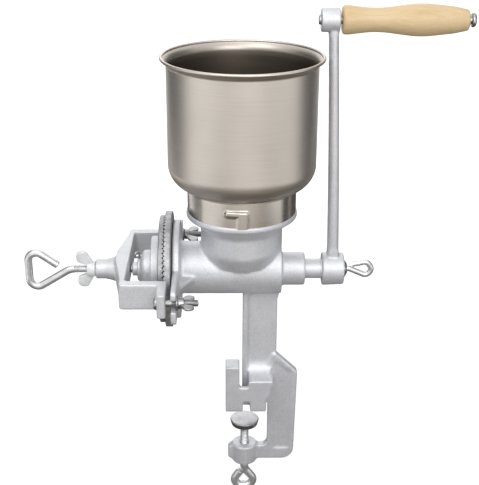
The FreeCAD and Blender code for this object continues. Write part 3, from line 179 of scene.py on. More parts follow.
def sweep(name, path, radius):
    """A tube along a path in a plane across Y, in mm; radius(distance, angle, total) is its surface."""
    path = np.array(path, float)
    normal = np.array((0.0, 1.0, 0.0))
    tangents = np.gradient(path, axis=0)
    tangents /= np.linalg.norm(tangents, axis=1)[:, None]
    lengths = distances(path)
    sides = SWEEP_SIDES
    points, faces = [], []
    for spot, tangent, distance in zip(path, tangents, lengths):
        across = np.cross(normal, tangent)
        across /= np.linalg.norm(across)
        for k in range(sides):
            angle = 2 * math.pi * k / sides
            r = radius(distance, angle, lengths[-1])
            points.append((spot + r * (math.cos(angle) * across + math.sin(angle) * normal)) * MM)
    rings = len(path)
    for i in range(rings - 1):
        for k in range(sides):
            j = (k + 1) % sides
            faces.append((i * sides + k, i * sides + j, (i + 1) * sides + j, (i + 1) * sides + k))
    faces.append(tuple(range(sides)))
    faces.append(tuple(reversed(range((rings - 1) * sides, rings * sides))))
    return crease_sharp(cleaned(new_mesh(name, points, faces)), SWEEP_CREASE)


def spaced(line, step):
    """Points along a line at even steps."""
    line = np.array(line, float)
    lengths = distances(line)
    count = max(2, int(round(lengths[-1] / step)) + 1)
    marks = np.linspace(0, lengths[-1], count)
    return np.stack([np.interp(marks, lengths, line[:, i]) for i in range(line.shape[1])], axis=1)


# Cast pieces: the CAD solid, remeshed, with filleted inner corners and a rough skin


def evaluated(item):
    """Applies an object's modifiers."""
    graph = bpy.context.evaluated_depsgraph_get()
    mesh = bpy.data.meshes.new_from_object(item.evaluated_get(graph))
    old = item.data
    item.modifiers.clear()
    item.data = mesh
    bpy.data.meshes.remove(old)
    return item


def vertex_normals(points, quads):
    a, b, c, d = (points[quads[:, i]] for i in range(4))
    flat = np.cross(c - a, d - b)
    normals = np.zeros_like(points)
    for i in range(4):
        for axis in range(3):
            normals[:, axis] += np.bincount(quads[:, i], flat[:, axis], len(points))
    return normals / np.maximum(np.linalg.norm(normals, axis=1), 1e-12)[:, None]


def neighbour_mean(points, edges, degree):
    total = np.zeros_like(points)
    for axis in range(3):
        total[:, axis] += np.bincount(edges[:, 0], points[edges[:, 1], axis], len(points))
        total[:, axis] += np.bincount(edges[:, 1], points[edges[:, 0], axis], len(points))
    return total / degree[:, None]


CAD_WELD = 2e-6
SMOOTH_STEP = 0.5
EVEN_PASSES = 2
NORMALS_EVERY = 4
FINE_SHARE = 0.6
FINE_SIZE = 0.35


def cast_copy(node, name, voxel, fillet, passes=40, rounding=3, rough=0.05, grain=4.0, reshape=None):
    """A copy of a node with the soft corners and uneven skin of a sand casting, sizes in mm."""
    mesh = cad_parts[node].data.copy()
    item = link(name, mesh)
    work = bmesh.new()
    work.from_mesh(mesh)
    bmesh.ops.remove_doubles(work, verts=work.verts, dist=CAD_WELD)
    work.to_mesh(mesh)
    work.free()
    remesh = item.modifiers.new("remesh", "REMESH")
    remesh.mode = "VOXEL"
    remesh.voxel_size = voxel * MM
    mesh = evaluated(item).data
    count = len(mesh.vertices)
    points = np.empty(count * 3)
    mesh.vertices.foreach_get("co", points)
    points = points.reshape(-1, 3) / MM
    quads = np.array([tuple(f.vertices) if len(f.vertices) == 4 else (*f.vertices, f.vertices[0])
                      for f in mesh.polygons])
    edges = np.empty(len(mesh.edges) * 2, int)
    mesh.edges.foreach_get("vertices", edges)
    edges = edges.reshape(-1, 2)
    degree = np.bincount(edges.ravel(), minlength=count).astype(float)
    for _ in range(EVEN_PASSES):
        points += SMOOTH_STEP * (neighbour_mean(points, edges, degree) - points)
    if reshape:
        points = reshape(points)
    # Only points that their neighbours pull outward move, so inner corners fill up to the fillet
    limit = voxel * voxel / (4 * fillet)
    for step in range(passes):
        if step % NORMALS_EVERY == 0:
            normals = vertex_normals(points, quads)
        pull = neighbour_mean(points, edges, degree) - points
        rise = (pull * normals).sum(axis=1)
        share = np.clip((rise - limit) / limit, 0, 1)
        points += pull * (SMOOTH_STEP * share)[:, None]
    for _ in range(rounding):
        points += SMOOTH_STEP * (neighbour_mean(points, edges, degree) - points)
    normals = vertex_normals(points, quads)
    lumps = np.array([
        noise.noise(Vector(p / grain)) + FINE_SHARE * noise.noise(Vector(p / (grain * FINE_SIZE)))
        for p in points
    ])
    points += normals * (lumps * rough)[:, None]
    mesh.vertices.foreach_set("co", (points * MM).ravel())
    mesh.update()
    mesh.shade_smooth()
    return item


# Materials


def add_node(tree, kind, **settings):
    item = tree.nodes.new(kind)
    for key, value in settings.items():
        setattr(item, key, value)
    return item


def scaled(colour, tone):
    return tuple(tone * part for part in colour)


class Nodes:
    """Short ways to add nodes to a material."""

    def __init__(self, name):
        self.material = bpy.data.materials.new(name)
        self.material.use_nodes = True
        self.tree = self.material.node_tree
        self.shader = self.tree.nodes["Principled BSDF"]
        self.place = self.add("ShaderNodeTexCoord").outputs["Object"]

    def add(self, kind, **settings):
        return add_node(self.tree, kind, **settings)

    def link(self, output, item, key):
        self.tree.links.new(output, item.inputs[key])

    def stretched(self, scale):
        item = self.add("ShaderNodeMapping")
        item.inputs["Scale"].default_value = scale
        self.link(self.place, item, "Vector")
        return item.outputs["Vector"]

    def noise(self, scale=1.0, detail=3, rough=0.6, vector=None, distortion=0.0):
        item = self.add("ShaderNodeTexNoise")
        self.link(vector or self.place, item, "Vector")
        item.inputs["Scale"].default_value = scale
        item.inputs["Detail"].default_value = detail
        item.inputs["Roughness"].default_value = rough
        item.inputs["Distortion"].default_value = distortion
        return item.outputs["Fac"]

    def cells(self, scale):
        item = self.add("ShaderNodeTexVoronoi")
        self.link(self.place, item, "Vector")
        item.inputs["Scale"].default_value = scale
        return item.outputs["Distance"]

    def fade(self, axis, start, end):
        """0 to 1 between two places along an axis, in metres."""
        apart = self.add("ShaderNodeSeparateXYZ")
        self.link(self.place, apart, "Vector")
        item = self.add("ShaderNodeMapRange")
        self.link(apart.outputs[axis], item, "Value")
        item.inputs["From Min"].default_value = start
        item.inputs["From Max"].default_value = end
        return item

    def ramp(self, factor, *stops):
        item = self.add("ShaderNodeValToRGB")
        self.link(factor, item, "Fac")
        marks = item.color_ramp.elements
        while len(marks) < len(stops):
            marks.new(0.5)
        for mark, (position, colour) in zip(marks, stops):
            mark.position = position
            if not isinstance(colour, tuple):
                colour = (colour, colour, colour)
            mark.color = (*colour, 1)
        return item.outputs["Color"]

    def mix(self, factor, first, second, blend="MIX"):
        item = self.add("ShaderNodeMix", data_type="RGBA", blend_type=blend)
        if isinstance(factor, float):
            item.inputs[0].default_value = factor
        else:
            self.link(factor, item, 0)
        for key, value in ((6, first), (7, second)):
            if isinstance(value, tuple):
                item.inputs[key].default_value = (*value, 1)
            else:
                self.link(value, item, key)
        return item.outputs[2]

    def math(self, operation, first, second):
        item = self.add("ShaderNodeMath", operation=operation)
        for key, value in enumerate((first, second)):
            if isinstance(value, (int, float)):
                item.inputs[key].default_value = value
            else:
                self.link(value, item, key)
        return item.outputs[0]

    def bump(self, height, distance, strength, normal=None):
        item = self.add("ShaderNodeBump")
        self.link(height, item, "Height")
        item.inputs["Distance"].default_value = distance
        item.inputs["Strength"].default_value = strength
        if normal:
            self.link(normal, item, "Normal")
        return item.outputs["Normal"]

    def finish(self, colour, rough, normal, **settings):
        self.link(colour, self.shader, "Base Color")
        self.link(rough, self.shader, "Roughness")
        self.link(normal, self.shader, "Normal")
        for key, value in settings.items():
            self.shader.inputs[key.replace("_", " ")].default_value = value
        return self.material


CAST_LIGHT = (0.72, 0.73, 0.76)
CAST_DARK = (0.63, 0.635, 0.66)
SPECK_LIGHT = (0.86, 0.87, 0.90)
SPECK_DARK = (0.40, 0.405, 0.42)


def cast_silver(name, tone=1.0, grain=1.0):
    """Silver paint on a sand casting: cloudy, with specks and small pits."""
    m = Nodes(name)
    soft = m.noise(60)
    fine = m.noise(900 * grain, detail=4, rough=0.65)
    pits = m.cells(520 * grain)
    colour = m.ramp(soft, (0.22, scaled(CAST_DARK, tone)), (0.62, scaled(CAST_LIGHT, tone)))
    speck = m.ramp(fine, (0.36, scaled(SPECK_DARK, tone)), (0.56, SPECK_LIGHT))
    colour = m.mix(0.28, colour, speck, "MULTIPLY")
    colour = m.mix(0.22, colour, speck, "SCREEN")
    rough = m.ramp(fine, (0.3, 0.40), (0.75, 0.56))
    normal = m.bump(m.ramp(pits, (0.0, 0.0), (0.45, 1.0)), 0.00012, 0.35)
    normal = m.bump(fine, 0.00022, 0.7, normal)
    return m.finish(colour, rough, normal, Metallic=0.42)


STEEL_TINT = (0.60, 0.555, 0.505)
RING_GRAIN = (20, 20, 1300)
FULL_SHADE_BELOW = (SHAFT + 181.0) * MM
UNSHADED_ABOVE = (SHAFT + 194.0) * MM


def spun_steel(name, tint=STEEL_TINT, rough=0.42, deep=None):
    """Spun sheet; deep is a darker tint painted on below the rim as painted shade, which fades out
    toward the rim.
    """
    m = Nodes(name)
    rings = m.noise(detail=1, rough=0.5, vector=m.stretched(RING_GRAIN))
    broad = m.noise(14, detail=2, rough=0.5)
    colour = m.ramp(broad, (0.3, scaled(tint, 0.90)), (0.7, scaled(tint, 1.06)))
    # Below the rim the colour fades into the deep tint: painted shade inside the bowl
    if deep:
        unshaded_share = m.fade("Z", FULL_SHADE_BELOW, UNSHADED_ABOVE)
        colour = m.mix(unshaded_share.outputs["Result"], deep, colour)
    colour = m.mix(0.10, colour, m.ramp(rings, (0.3, 0.35), (0.7, 1.0)), "MULTIPLY")
    spread = m.math("ADD", m.math("MULTIPLY", rings, 0.10), rough - 0.05)
    normal = m.bump(rings, 0.00002, 0.25)
    return m.finish(colour, spread, normal, Metallic=1.0)


def zinc(name, tint, rough, metal=1.0):
    """Plated or painted small metal, cloudy and finely scratched."""
    m = Nodes(name)
    cloud = m.noise(120)
    fine = m.noise(vector=m.stretched((1500, 1500, 1500)))
    colour = m.ramp(cloud, (0.28, scaled(tint, 0.72)), (0.62, tint))
    spread = m.math("ADD", m.math("MULTIPLY", fine, 0.16), rough - 0.06)
    normal = m.bump(fine, 0.00004, 0.5)
    return m.finish(colour, spread, normal, Metallic=metal)


IRON_DARK = (0.30, 0.30, 0.31)
IRON_LIGHT = (0.50, 0.50, 0.515)


def plate_iron(name, tone, metal=0.6, dull=0.0, gloss=0.5):
    """Bare ground iron with a grainy sparkle; dull is added to its roughness."""
    m = Nodes(name)
    soft = m.noise(140)
    fine = m.noise(1300, detail=4, rough=0.7)
    colour = m.ramp(soft, (0.3, scaled(IRON_DARK, tone)), (0.7, scaled(IRON_LIGHT, tone)))
    sparkle = m.ramp(m.cells(900), (0.10, 1.0), (0.34, 0.25))
    colour = m.mix(0.35, colour, sparkle, "OVERLAY")
    rough = m.ramp(fine, (0.3, 0.36 + dull), (0.7, 0.56 + dull))
    normal = m.bump(fine, 0.00025, 0.8)
    return m.finish(colour, rough, normal, Metallic=metal, Specular_IOR_Level=gloss)


WOOD_DARK = (0.70, 0.475, 0.225)
WOOD_MIDDLE = (0.79, 0.59, 0.335)
WOOD_LIGHT = (0.83, 0.655, 0.405)
FIBRE_DARK = (0.62, 0.42, 0.20)
FIBRE_LIGHT = (0.86, 0.70, 0.46)
PORE_DARK = (0.45, 0.27, 0.12)


def wood(name):
    """Lacquered wood whose fibres and pores run along X."""
    m = Nodes(name)
    fibre = m.noise(2.2, detail=4, vector=m.stretched((14, 420, 420)), distortion=0.4)
    broad = m.noise(rough=0.55, vector=m.stretched((8, 90, 90)), distortion=0.6)
    pores = m.noise(detail=2, rough=0.5, vector=m.stretched((90, 2600, 2600)))
    colour = m.ramp(broad, (0.28, WOOD_DARK), (0.55, WOOD_MIDDLE), (0.80, WOOD_LIGHT))
    colour = m.mix(0.25, colour, m.ramp(fibre, (0.35, FIBRE_DARK), (0.65, FIBRE_LIGHT)))
    colour = m.mix(0.10, colour, m.ramp(pores, (0.36, PORE_DARK), (0.46, 1.0)), "MULTIPLY")
    rough = m.ramp(fibre, (0.3, 0.36), (0.7, 0.50))
    normal = m.bump(fibre, 0.00008, 0.35)
    return m.finish(colour, rough, normal, Coat_Weight=0.25, Coat_Roughness=0.25)


cast = cast_silver("cast_silver")
cast_bright = cast_silver("cast_bright", tone=1.06, grain=1.2)
steel = spun_steel("spun_steel")
# The inside of the bowl is painted dark brown below the rim as painted shade
shaded_inner_steel = spun_steel("shaded_inner_steel", rough=0.40, deep=(0.20, 0.17, 0.14))
collar_steel = spun_steel("collar_steel", tint=(0.55, 0.51, 0.465), rough=0.25)
bright_zinc = zinc("zinc", tint=(0.78, 0.79, 0.80), rough=0.26, metal=0.7)
pale_zinc = zinc("pale_zinc", tint=(0.985, 0.995, 1.0), rough=0.46, metal=0.05)
dull_steel = zinc("dull_steel", tint=(0.44, 0.44, 0.45), rough=0.30)
iron = plate_iron("plate_iron", tone=1.0)
ground_iron = plate_iron("ground_iron", tone=1.2)
# Near-black painted shade for the walls and ends of the deep grooves between the teeth
groove_painted_shade = plate_iron("groove_painted_shade", tone=0.02, metal=0.0, dull=0.4, gloss=0.0)
timber = wood("turned_wood")


def paint(item, material):
    item.data.materials.clear()
    item.data.materials.append(material)
    return item


def take_over(item, material, node, body):
    """The new piece stands for a CAD node and rides on its body."""
    paint(item, material)
    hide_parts(node)
    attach(item, body)


def repaint(node, material):
    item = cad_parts[node]
    for place in item.material_slots:
        place.material = material


# Castings; the crank's bar runs between its hubs

BAR_LOW = SHAFT + 17.0
BAR_HIGH = SHAFT + THROW - 12.0
BAR_BLEND = 6.0
BAR_SLAB = 3.0


def oval_bar(points):
    """Gives the crank's bar an oval section between its two hubs; sizes in mm."""
    marks = np.arange(BAR_LOW, BAR_HIGH, BAR_SLAB)
    lows, highs = [], []
    for mark in marks:
        slab = points[abs(points[:, Z] - mark) < BAR_SLAB, X]
        lows.append(slab.min())
        highs.append(slab.max())
    height = points[:, Z]
    centre = np.interp(height, marks, (np.array(highs) + lows) / 2)
    thick = np.interp(height, marks, (np.array(highs) - lows) / 2)
    bar = (height > BAR_LOW) & (height < BAR_HIGH)
    wide = abs(points[bar, Y]).max()
    across = points[:, X] - centre
    size = np.sqrt((across / thick) ** 2 + (points[:, Y] / wide) ** 2)
    blend = np.clip(np.minimum(height - BAR_LOW, BAR_HIGH - height) / BAR_BLEND, 0, 1)
    share = 1 + blend * (1 / np.maximum(size, 1) - 1)
    return np.stack([centre + across * share, points[:, Y] * share, height], axis=1)


take_over(cast_copy("mill_body", "mill_casting", voxel=0.9, fillet=5.0, passes=60, rough=0.06),
          cast, "mill_body", "mill")
take_over(cast_copy("yoke", "yoke_casting", voxel=0.7, fillet=3.0, rounding=4),
          cast, "yoke", "mill")
take_over(cast_copy("crank_arm", "crank_casting", voxel=0.7, fillet=3.0, reshape=oval_bar),
          cast, "crank_arm", "rotor")
take_over(cast_copy("plate_carrier", "carrier_casting", voxel=0.7, fillet=3.0, passes=20, rough=0.04),
          cast, "plate_carrier", "rotor")

# Hopper: a spun bowl with a rolled rim, and its collar with two pressed channels.
# Heights are above the shaft's axis

SHEET = 0.9
BOWL_RADIUS = 64.6
BOWL_TURN = 85.0
BOWL_ROUND = 21.0
FLARE = 5.0
FLARE_OUTSIDE = 3.0
FLARE_INSIDE = 9.0
RIM_RADIUS = extent("hopper_bowl", X)[1]
RIM_TOP = extent("hopper_bowl", Z)[1] - SHAFT
BEAD = 1.35
BEAD_SIDES = 20
COLLAR_RADIUS = extent("hopper_collar", X)[1]
COLLAR_LOW, COLLAR_TOP = (height - SHAFT for height in extent("hopper_collar", Z))
LAP = 7.0
FOOT_RISE = 1.5
FOOT_ROUND = 1.2
BOWL_STEPS = 288

# A face is one of the inside if its normal points in, or up where the bowl's bottom is

POINTS_IN = 0.2
POINTS_UP = 0.3
BOTTOM_HIGH = 8.0


def ring(along, radius, small):
    """A small circle of an outline, for the bead."""
    angles = [2 * math.pi * k / BEAD_SIDES for k in range(BEAD_SIDES)]
    return [(along + small * math.sin(angle), radius + small * math.cos(angle)) for angle in angles]


def hopper_bowl():
    bead = RIM_RADIUS - BEAD
    bead_height = RIM_TOP - BEAD
    flare = bead_height - FLARE
    inner = BOWL_RADIUS - SHEET
    outside = COLLAR_RADIUS - SHEET
    inside = outside - SHEET
    leave = COLLAR_TOP + FOOT_RISE
    outline = round_corners([
        (inside, COLLAR_TOP - LAP),
        (outside, COLLAR_TOP - LAP),
        (outside, leave, FOOT_ROUND),
        (BOWL_RADIUS, BOWL_TURN, BOWL_ROUND),
        (BOWL_RADIUS, flare, FLARE_OUTSIDE),
        (bead, bead_height - SHEET),
        (bead, bead_height + SHEET / 2),
        (inner, flare + SHEET, FLARE_INSIDE),
        (inner, BOWL_TURN + SHEET, BOWL_ROUND - SHEET),
        (inside, leave + SHEET),
    ])
    shell = [(along, radius) for radius, along in outline]
    item = lathe("spun_bowl", [shell, ring(bead_height, bead, BEAD)], Z, BOWL_STEPS)
    take_over(item, steel, "hopper_bowl", "hopper")
    # Inner faces take the steel with the painted shade below the rim
    item.data.materials.append(shaded_inner_steel)
    for face in item.data.polygons:
        x, y, z = face.center
        across = math.hypot(x, y)
        outward = (face.normal.x * x + face.normal.y * y) / across
        bottom = face.normal.z > POINTS_UP and z / MM - SHAFT < BOWL_TURN + BOTTOM_HIGH
        if across / MM < bead - BEAD and (outward < -POINTS_IN or bottom):
            face.material_index = 1


CHANNEL_RISE = 1.9
CHANNEL_HALF = 5.25
CHANNEL_HIGH = 6.2
CHANNEL_LONG = 20.5
CHANNEL_TOP = COLLAR_LOW + 15.6
CHANNEL_CORNER = 2.4
LEG_LONG = 40.0
PRESS_EDGE = 3.0
COLLAR_ROWS = 44
COLLAR_STEPS = 640


def inside_box(x, z, half_x, half_z):
    """How far a spot lies inside a box with round corners, in mm."""
    over_x = abs(x) - half_x + CHANNEL_CORNER
    over_z = abs(z) - half_z + CHANNEL_CORNER
    corner = math.hypot(max(over_x, 0.0), max(over_z, 0.0))
    return CHANNEL_CORNER - corner - min(max(over_x, over_z), 0.0)


def pressed(angle, along, radius):
    """The collar's wall with its raised L, whose upright leg is open at the lower edge."""
    x = COLLAR_RADIUS * math.cos(angle)
    if math.sin(angle) > 0:
        x = -x
    below = CHANNEL_TOP - along
    cross = inside_box(x + CHANNEL_LONG / 2 - CHANNEL_HALF, below - CHANNEL_HIGH / 2,
                       CHANNEL_LONG / 2, CHANNEL_HIGH / 2)
    upright = inside_box(x, below - LEG_LONG / 2, CHANNEL_HALF, LEG_LONG / 2)
    share = (max(cross, upright) + SHEET) / PRESS_EDGE
    share = max(0.0, min(1.0, share))
    return radius + CHANNEL_RISE * share * share * (3 - 2 * share)


def hopper_collar():
    high = COLLAR_TOP - COLLAR_LOW
    heights = [COLLAR_LOW + high * i / COLLAR_ROWS for i in range(COLLAR_ROWS + 1)]
    outline = [(z, COLLAR_RADIUS) for z in heights]
    outline += [(z, COLLAR_RADIUS - SHEET) for z in reversed(heights)]
    item = lathe("pressed_collar", [outline], Z, COLLAR_STEPS, shape=pressed)
    take_over(item, collar_steel, "hopper_collar", "hopper")


hopper_bowl()
hopper_collar()

# Turned wooden grip: radii, and places from its end at the crank

GRIP_BORE = 3.45
GRIP_EDGE = 2.5
GRIP_NEAR = 12.0
GRIP_SHOULDER_AT = 6.0
GRIP_SHOULDER_CURVE = 22.5
GRIP_NECK = 9.3
GRIP_NECK_AT = 28.4
GRIP_BELLY = 14.08
GRIP_BELLY_AT = 65.0
GRIP_CURVE = 90.0
GRIP_FAR = 8.6
GRIP_TAPER = 12.6
GRIP_TAPER_CURVE = 45.0
GRIP_STEPS = 192


def wooden_grip():
    start, end = extent("wooden_grip", X)
    outline = round_corners([
        (start, GRIP_BORE),
        (start, GRIP_NEAR, GRIP_EDGE),
        (start + GRIP_SHOULDER_AT, GRIP_NEAR, GRIP_SHOULDER_CURVE),
        (start + GRIP_NECK_AT, GRIP_NECK, GRIP_CURVE),
        (start + GRIP_BELLY_AT, GRIP_BELLY, GRIP_CURVE),
        (end - GRIP_TAPER, GRIP_FAR + GRIP_EDGE, GRIP_TAPER_CURVE),
        (end, GRIP_FAR, GRIP_EDGE),
        (end, GRIP_BORE),
    ])
    item = lathe("turned_grip", [outline], X, GRIP_STEPS, centre=(0, 0, SHAFT + THROW))
    take_over(item, timber, "wooden_grip", "grip")


wooden_grip()

# Screws with their threads and bent handles

CREST = 1.35
CREST_ROUND = 0.1
TIP_SLOPE = 0.6
END_ROUND = 0.5


def thread_height(phase):
    """A rounded thread profile from 0 at the root to 1 at the crest."""
    wave = abs((phase % 1.0) - 0.5) * 2
    return min(1.0, max(0.0, wave * CREST - CREST_ROUND))


def bent_rod(radius, thread_start, thread_end, pitch=1.25, deep=0.62, tip=1.0, end=0.8):
    """The surface of a rod whose tip and end are rounded off and whose stem has a thread."""
    def at(distance, angle, total):
        size = radius
        if thread_start < distance < thread_end:
            fade = min(1.0, (distance - thread_start) / pitch, (thread_end - distance) / pitch)
            size -= deep * fade * (1 - thread_height(distance / pitch - angle / (2 * math.pi)))
        if distance < tip:
            size -= (tip - distance) * TIP_SLOPE
        if total - distance < end:
            size -= radius * END_ROUND * (1 - (total - distance) / end) ** 2
        return size
    return at


LOOP_END = 3.5
LOOP_STEP = 0.16


def loop_line(stem, length, half, opened, bend, loop_round):
    """Along and across a stem that ends in an open triangular loop."""
    far = stem + length
    return spaced(round_corners([
        (0, 0),
        (stem, 0, bend),
        (far, half, loop_round),
        (far, -half, loop_round),
        (far - opened, -LOOP_END),
    ]), LOOP_STEP)


def adjusting_screw():
    tip = extent("adjusting_screw", X)[1]
    line = loop_line(stem=52.3, length=37.55, half=23, opened=26.7, bend=16, loop_round=7.5)
    path = [(tip - along, 0, SHAFT - across) for along, across in line]
    item = sweep("threaded_screw", path, bent_rod(radius=3.5, thread_start=4, thread_end=49))
    take_over(item, bright_zinc, "adjusting_screw", "adjuster")


CLAMP_NECK = 2.9
CLAMP_NECK_LONG = 4.2


def clamp_screw():
    """The screw under the table, whose thin neck turns in the clamp pad."""
    tip = extent("clamp_screw", Z)[1]
    clamp_x = centre_of("clamp_pad", X)
    line = loop_line(stem=55.4, length=20, half=15, opened=17, bend=10, loop_round=6.5)
    path = [(clamp_x + across, 0, tip - along) for along, across in line]
    thread = bent_rod(radius=3.95, thread_start=6.5, thread_end=50.5)

    def at(distance, angle, total):
        neck = CLAMP_NECK + max(0.0, distance - CLAMP_NECK_LONG)
        return min(thread(distance, angle, total), neck)

    item = sweep("clamp_spindle_screw", path, at)
    take_over(item, bright_zinc, "clamp_screw", "clamp_spindle")


adjusting_screw()
clamp_screw()

BOLT_HEAD = 5.7
BOLT_HEAD_HIGH = 3.0
BOLT_DOME = 2.4
BOLT_DOME_ROWS = 8
BOLT_EDGE = 0.25
BOLT_STEP_IN = 0.01
BOLT_ROW = 0.12
BOLT_RADIUS = 3.0
BOLT_PLAIN = 12.0
BOLT_THREAD_END = 60.0
CROWN_LEAST = 0.4
CROWN_START = 0.15
CROWN_SLOPE = 6


def yoke_bolt(node):
    """A round-headed bolt along X; its thread runs at full depth through its end."""
    start, end = extent(node, X)
    y = centre_of(node, Y)
    z = centre_of(node, Z)
    under = start + BOLT_HEAD_HIGH
    quarter = math.pi / 2 / BOLT_DOME_ROWS
    marks = [start + BOLT_DOME * (1 - math.cos(quarter * k)) for k in range(BOLT_DOME_ROWS + 1)]
    marks += [under - BOLT_EDGE, under, under + BOLT_STEP_IN]
    marks += list(np.arange(under + BOLT_ROW, end, BOLT_ROW)) + [end]
    thread = bent_rod(BOLT_RADIUS, BOLT_HEAD_HIGH + BOLT_PLAIN, BOLT_THREAD_END,
                      pitch=1.0, deep=0.45, tip=0, end=1.0)

    def at(distance, angle, total):
        if start + distance > under + BOLT_STEP_IN / 2:
            return thread(distance, angle, total)
        rise = min(1.0, max(0.0, distance / BOLT_DOME))
        flat = (BOLT_HEAD - BOLT_DOME) * min(1.0, rise * CROWN_SLOPE + CROWN_START)
        return max(CROWN_LEAST, flat) + BOLT_DOME * math.sqrt(1 - (1 - rise) ** 2)

    item = sweep(node + "_threaded", [(x, y, z) for x in marks], at)
    take_over(item, dull_steel, node, "mill")


yoke_bolt("front_yoke_bolt")
yoke_bolt("rear_yoke_bolt")

# Wing nuts are cast too, with thick round wings

for node, name, body, material in (
        ("lock_wing_nut", "lock_nut_casting", "lock_nut", pale_zinc),
        ("front_wing_nut", "front_nut_casting", "front_nut", dull_steel),
        ("rear_wing_nut", "rear_nut_casting", "rear_nut", dull_steel)):
    nut = cast_copy(node, name, voxel=0.32, fillet=1.6, passes=30, rounding=5, rough=0.02, grain=2.0)
    take_over(nut, material, node, body)

# Grinding plates: sizes of the CAD grooves, and how far wear has opened them, in mm

GROOVE_START = 35.0
GROOVE_HALF = 1.01
GROOVE_DEEP = 1.5
GROOVE_WIDER = 0.38
GROOVE_DEEPER = 0.35
LAND_BACK = 0.2
ON_FACE = 0.01
NEAR_BOTTOM = 0.1
NEAR_EDGE = 0.15
WALL_TILT = 0.93
WALL_SIDEWAYS = 0.6
GROOVE_END_LONG = 2.0


def open_grooves(mesh, node):
    """Wears the teeth: the V grooves of a copied plate get wider and deeper, their lands lower."""
    low, high = extent(node, X)
    face, inward = (low, 1) if node.startswith("fixed") else (high, -1)
    points = np.empty(len(mesh.vertices) * 3)
    mesh.vertices.foreach_get("co", points)
    points = points.reshape(-1, 3) / MM
    points[:, Z] -= SHAFT
    depth = (points[:, X] - face) * inward
    away = np.hypot(points[:, Y], points[:, Z])
    angle = np.arctan2(points[:, Z], points[:, Y])
    outer = away > GROOVE_START
    bottom = outer & (abs(depth - GROOVE_DEEP) < NEAR_BOTTOM)
    lip = outer & (abs(depth) < ON_FACE)
    centres = np.unique(np.round(angle[bottom], 3))
    gaps = angle[lip][:, None] - centres[None, :]
    gaps = (gaps + math.pi) % (2 * math.pi) - math.pi
    nearest = gaps[np.arange(len(gaps)), abs(gaps).argmin(axis=1)]
    shift = nearest * away[lip]
    edge = abs(abs(shift) - GROOVE_HALF) < NEAR_EDGE
    turned = angle[lip] + np.where(edge, np.sign(shift) * GROOVE_WIDER / away[lip], 0)
    points[lip, Y] = away[lip] * np.cos(turned)
    points[lip, Z] = away[lip] * np.sin(turned)
    points[lip, X] += inward * LAND_BACK
    points[bottom, X] += inward * GROOVE_DEEPER
    points[:, Z] += SHAFT
    mesh.vertices.foreach_set("co", (points * MM).ravel())
    mesh.update()


def grinding_plate(node, name, body, material):
    """The plate's own shape, its faces in two materials: ground iron, and near-black painted shade on
    the walls and ends of the grooves.
    """
    item = link(name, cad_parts[node].data.copy())
    open_grooves(item.data, node)
    take_over(item, material, node, body)
    item.data.materials.append(groove_painted_shade)
    for face in item.data.polygons:
        y = face.center.y / MM
        z = face.center.z / MM - SHAFT
        away = math.hypot(y, z)
        if away <= GROOVE_START:
            continue
        outward = (face.normal.y * y + face.normal.z * z) / away
        # Groove walls and ends get the near-black painted shade
        wall = abs(face.normal.x) < WALL_TILT and abs(outward) < WALL_SIDEWAYS
        end = away < GROOVE_START + GROOVE_END_LONG and outward > WALL_SIDEWAYS
        if wall or end:
            face.material_index = 1


grinding_plate("fixed_grind_plate", "fixed_toothed_plate", "mill", ground_iron)
grinding_plate("moving_grind_plate", "moving_toothed_plate", "rotor", iron)

# CAD nodes that stay as they are

repaint("auger_shaft", cast_bright)
repaint("crank_screw", bright_zinc)
for node in ("fixed_plate_screws", "moving_plate_screws", "split_pin", "thrust_ball",
             "crank_washer", "handle_pin", "clamp_pad", "front_bolt_washer", "rear_bolt_washer"):
    repaint(node, dull_steel)

# Floor, light and camera; the floor lies clear of the clamp screw at its lowest pose

CLAMP_TRAVEL = 18.75
FLOOR_GAP = 3.3
FLOOR = (extent("clamp_screw", Z)[0] - CLAMP_TRAVEL - FLOOR_GAP) * MM
FLOOR_HALF = 9.0
WHITE = (1, 1, 1, 1)


def rectangle(left, front, right, back, height):
    return [(left, front, height), (right, front, height), (right, back, height),
            (left, back, height)]


def seen_directly(tree):
    """1 for rays of the camera and of reflections, 0 for the rays that light the object."""
    rays = add_node(tree, "ShaderNodeLightPath")
    seen = rays.outputs["Is Camera Ray"]
    for name in ("Is Glossy Ray", "Is Transmission Ray"):
        either = add_node(tree, "ShaderNodeMath", operation="MAXIMUM")
        tree.links.new(seen, either.inputs[0])
        tree.links.new(rays.outputs[name], either.inputs[1])
        seen = either.outputs[0]
    return seen


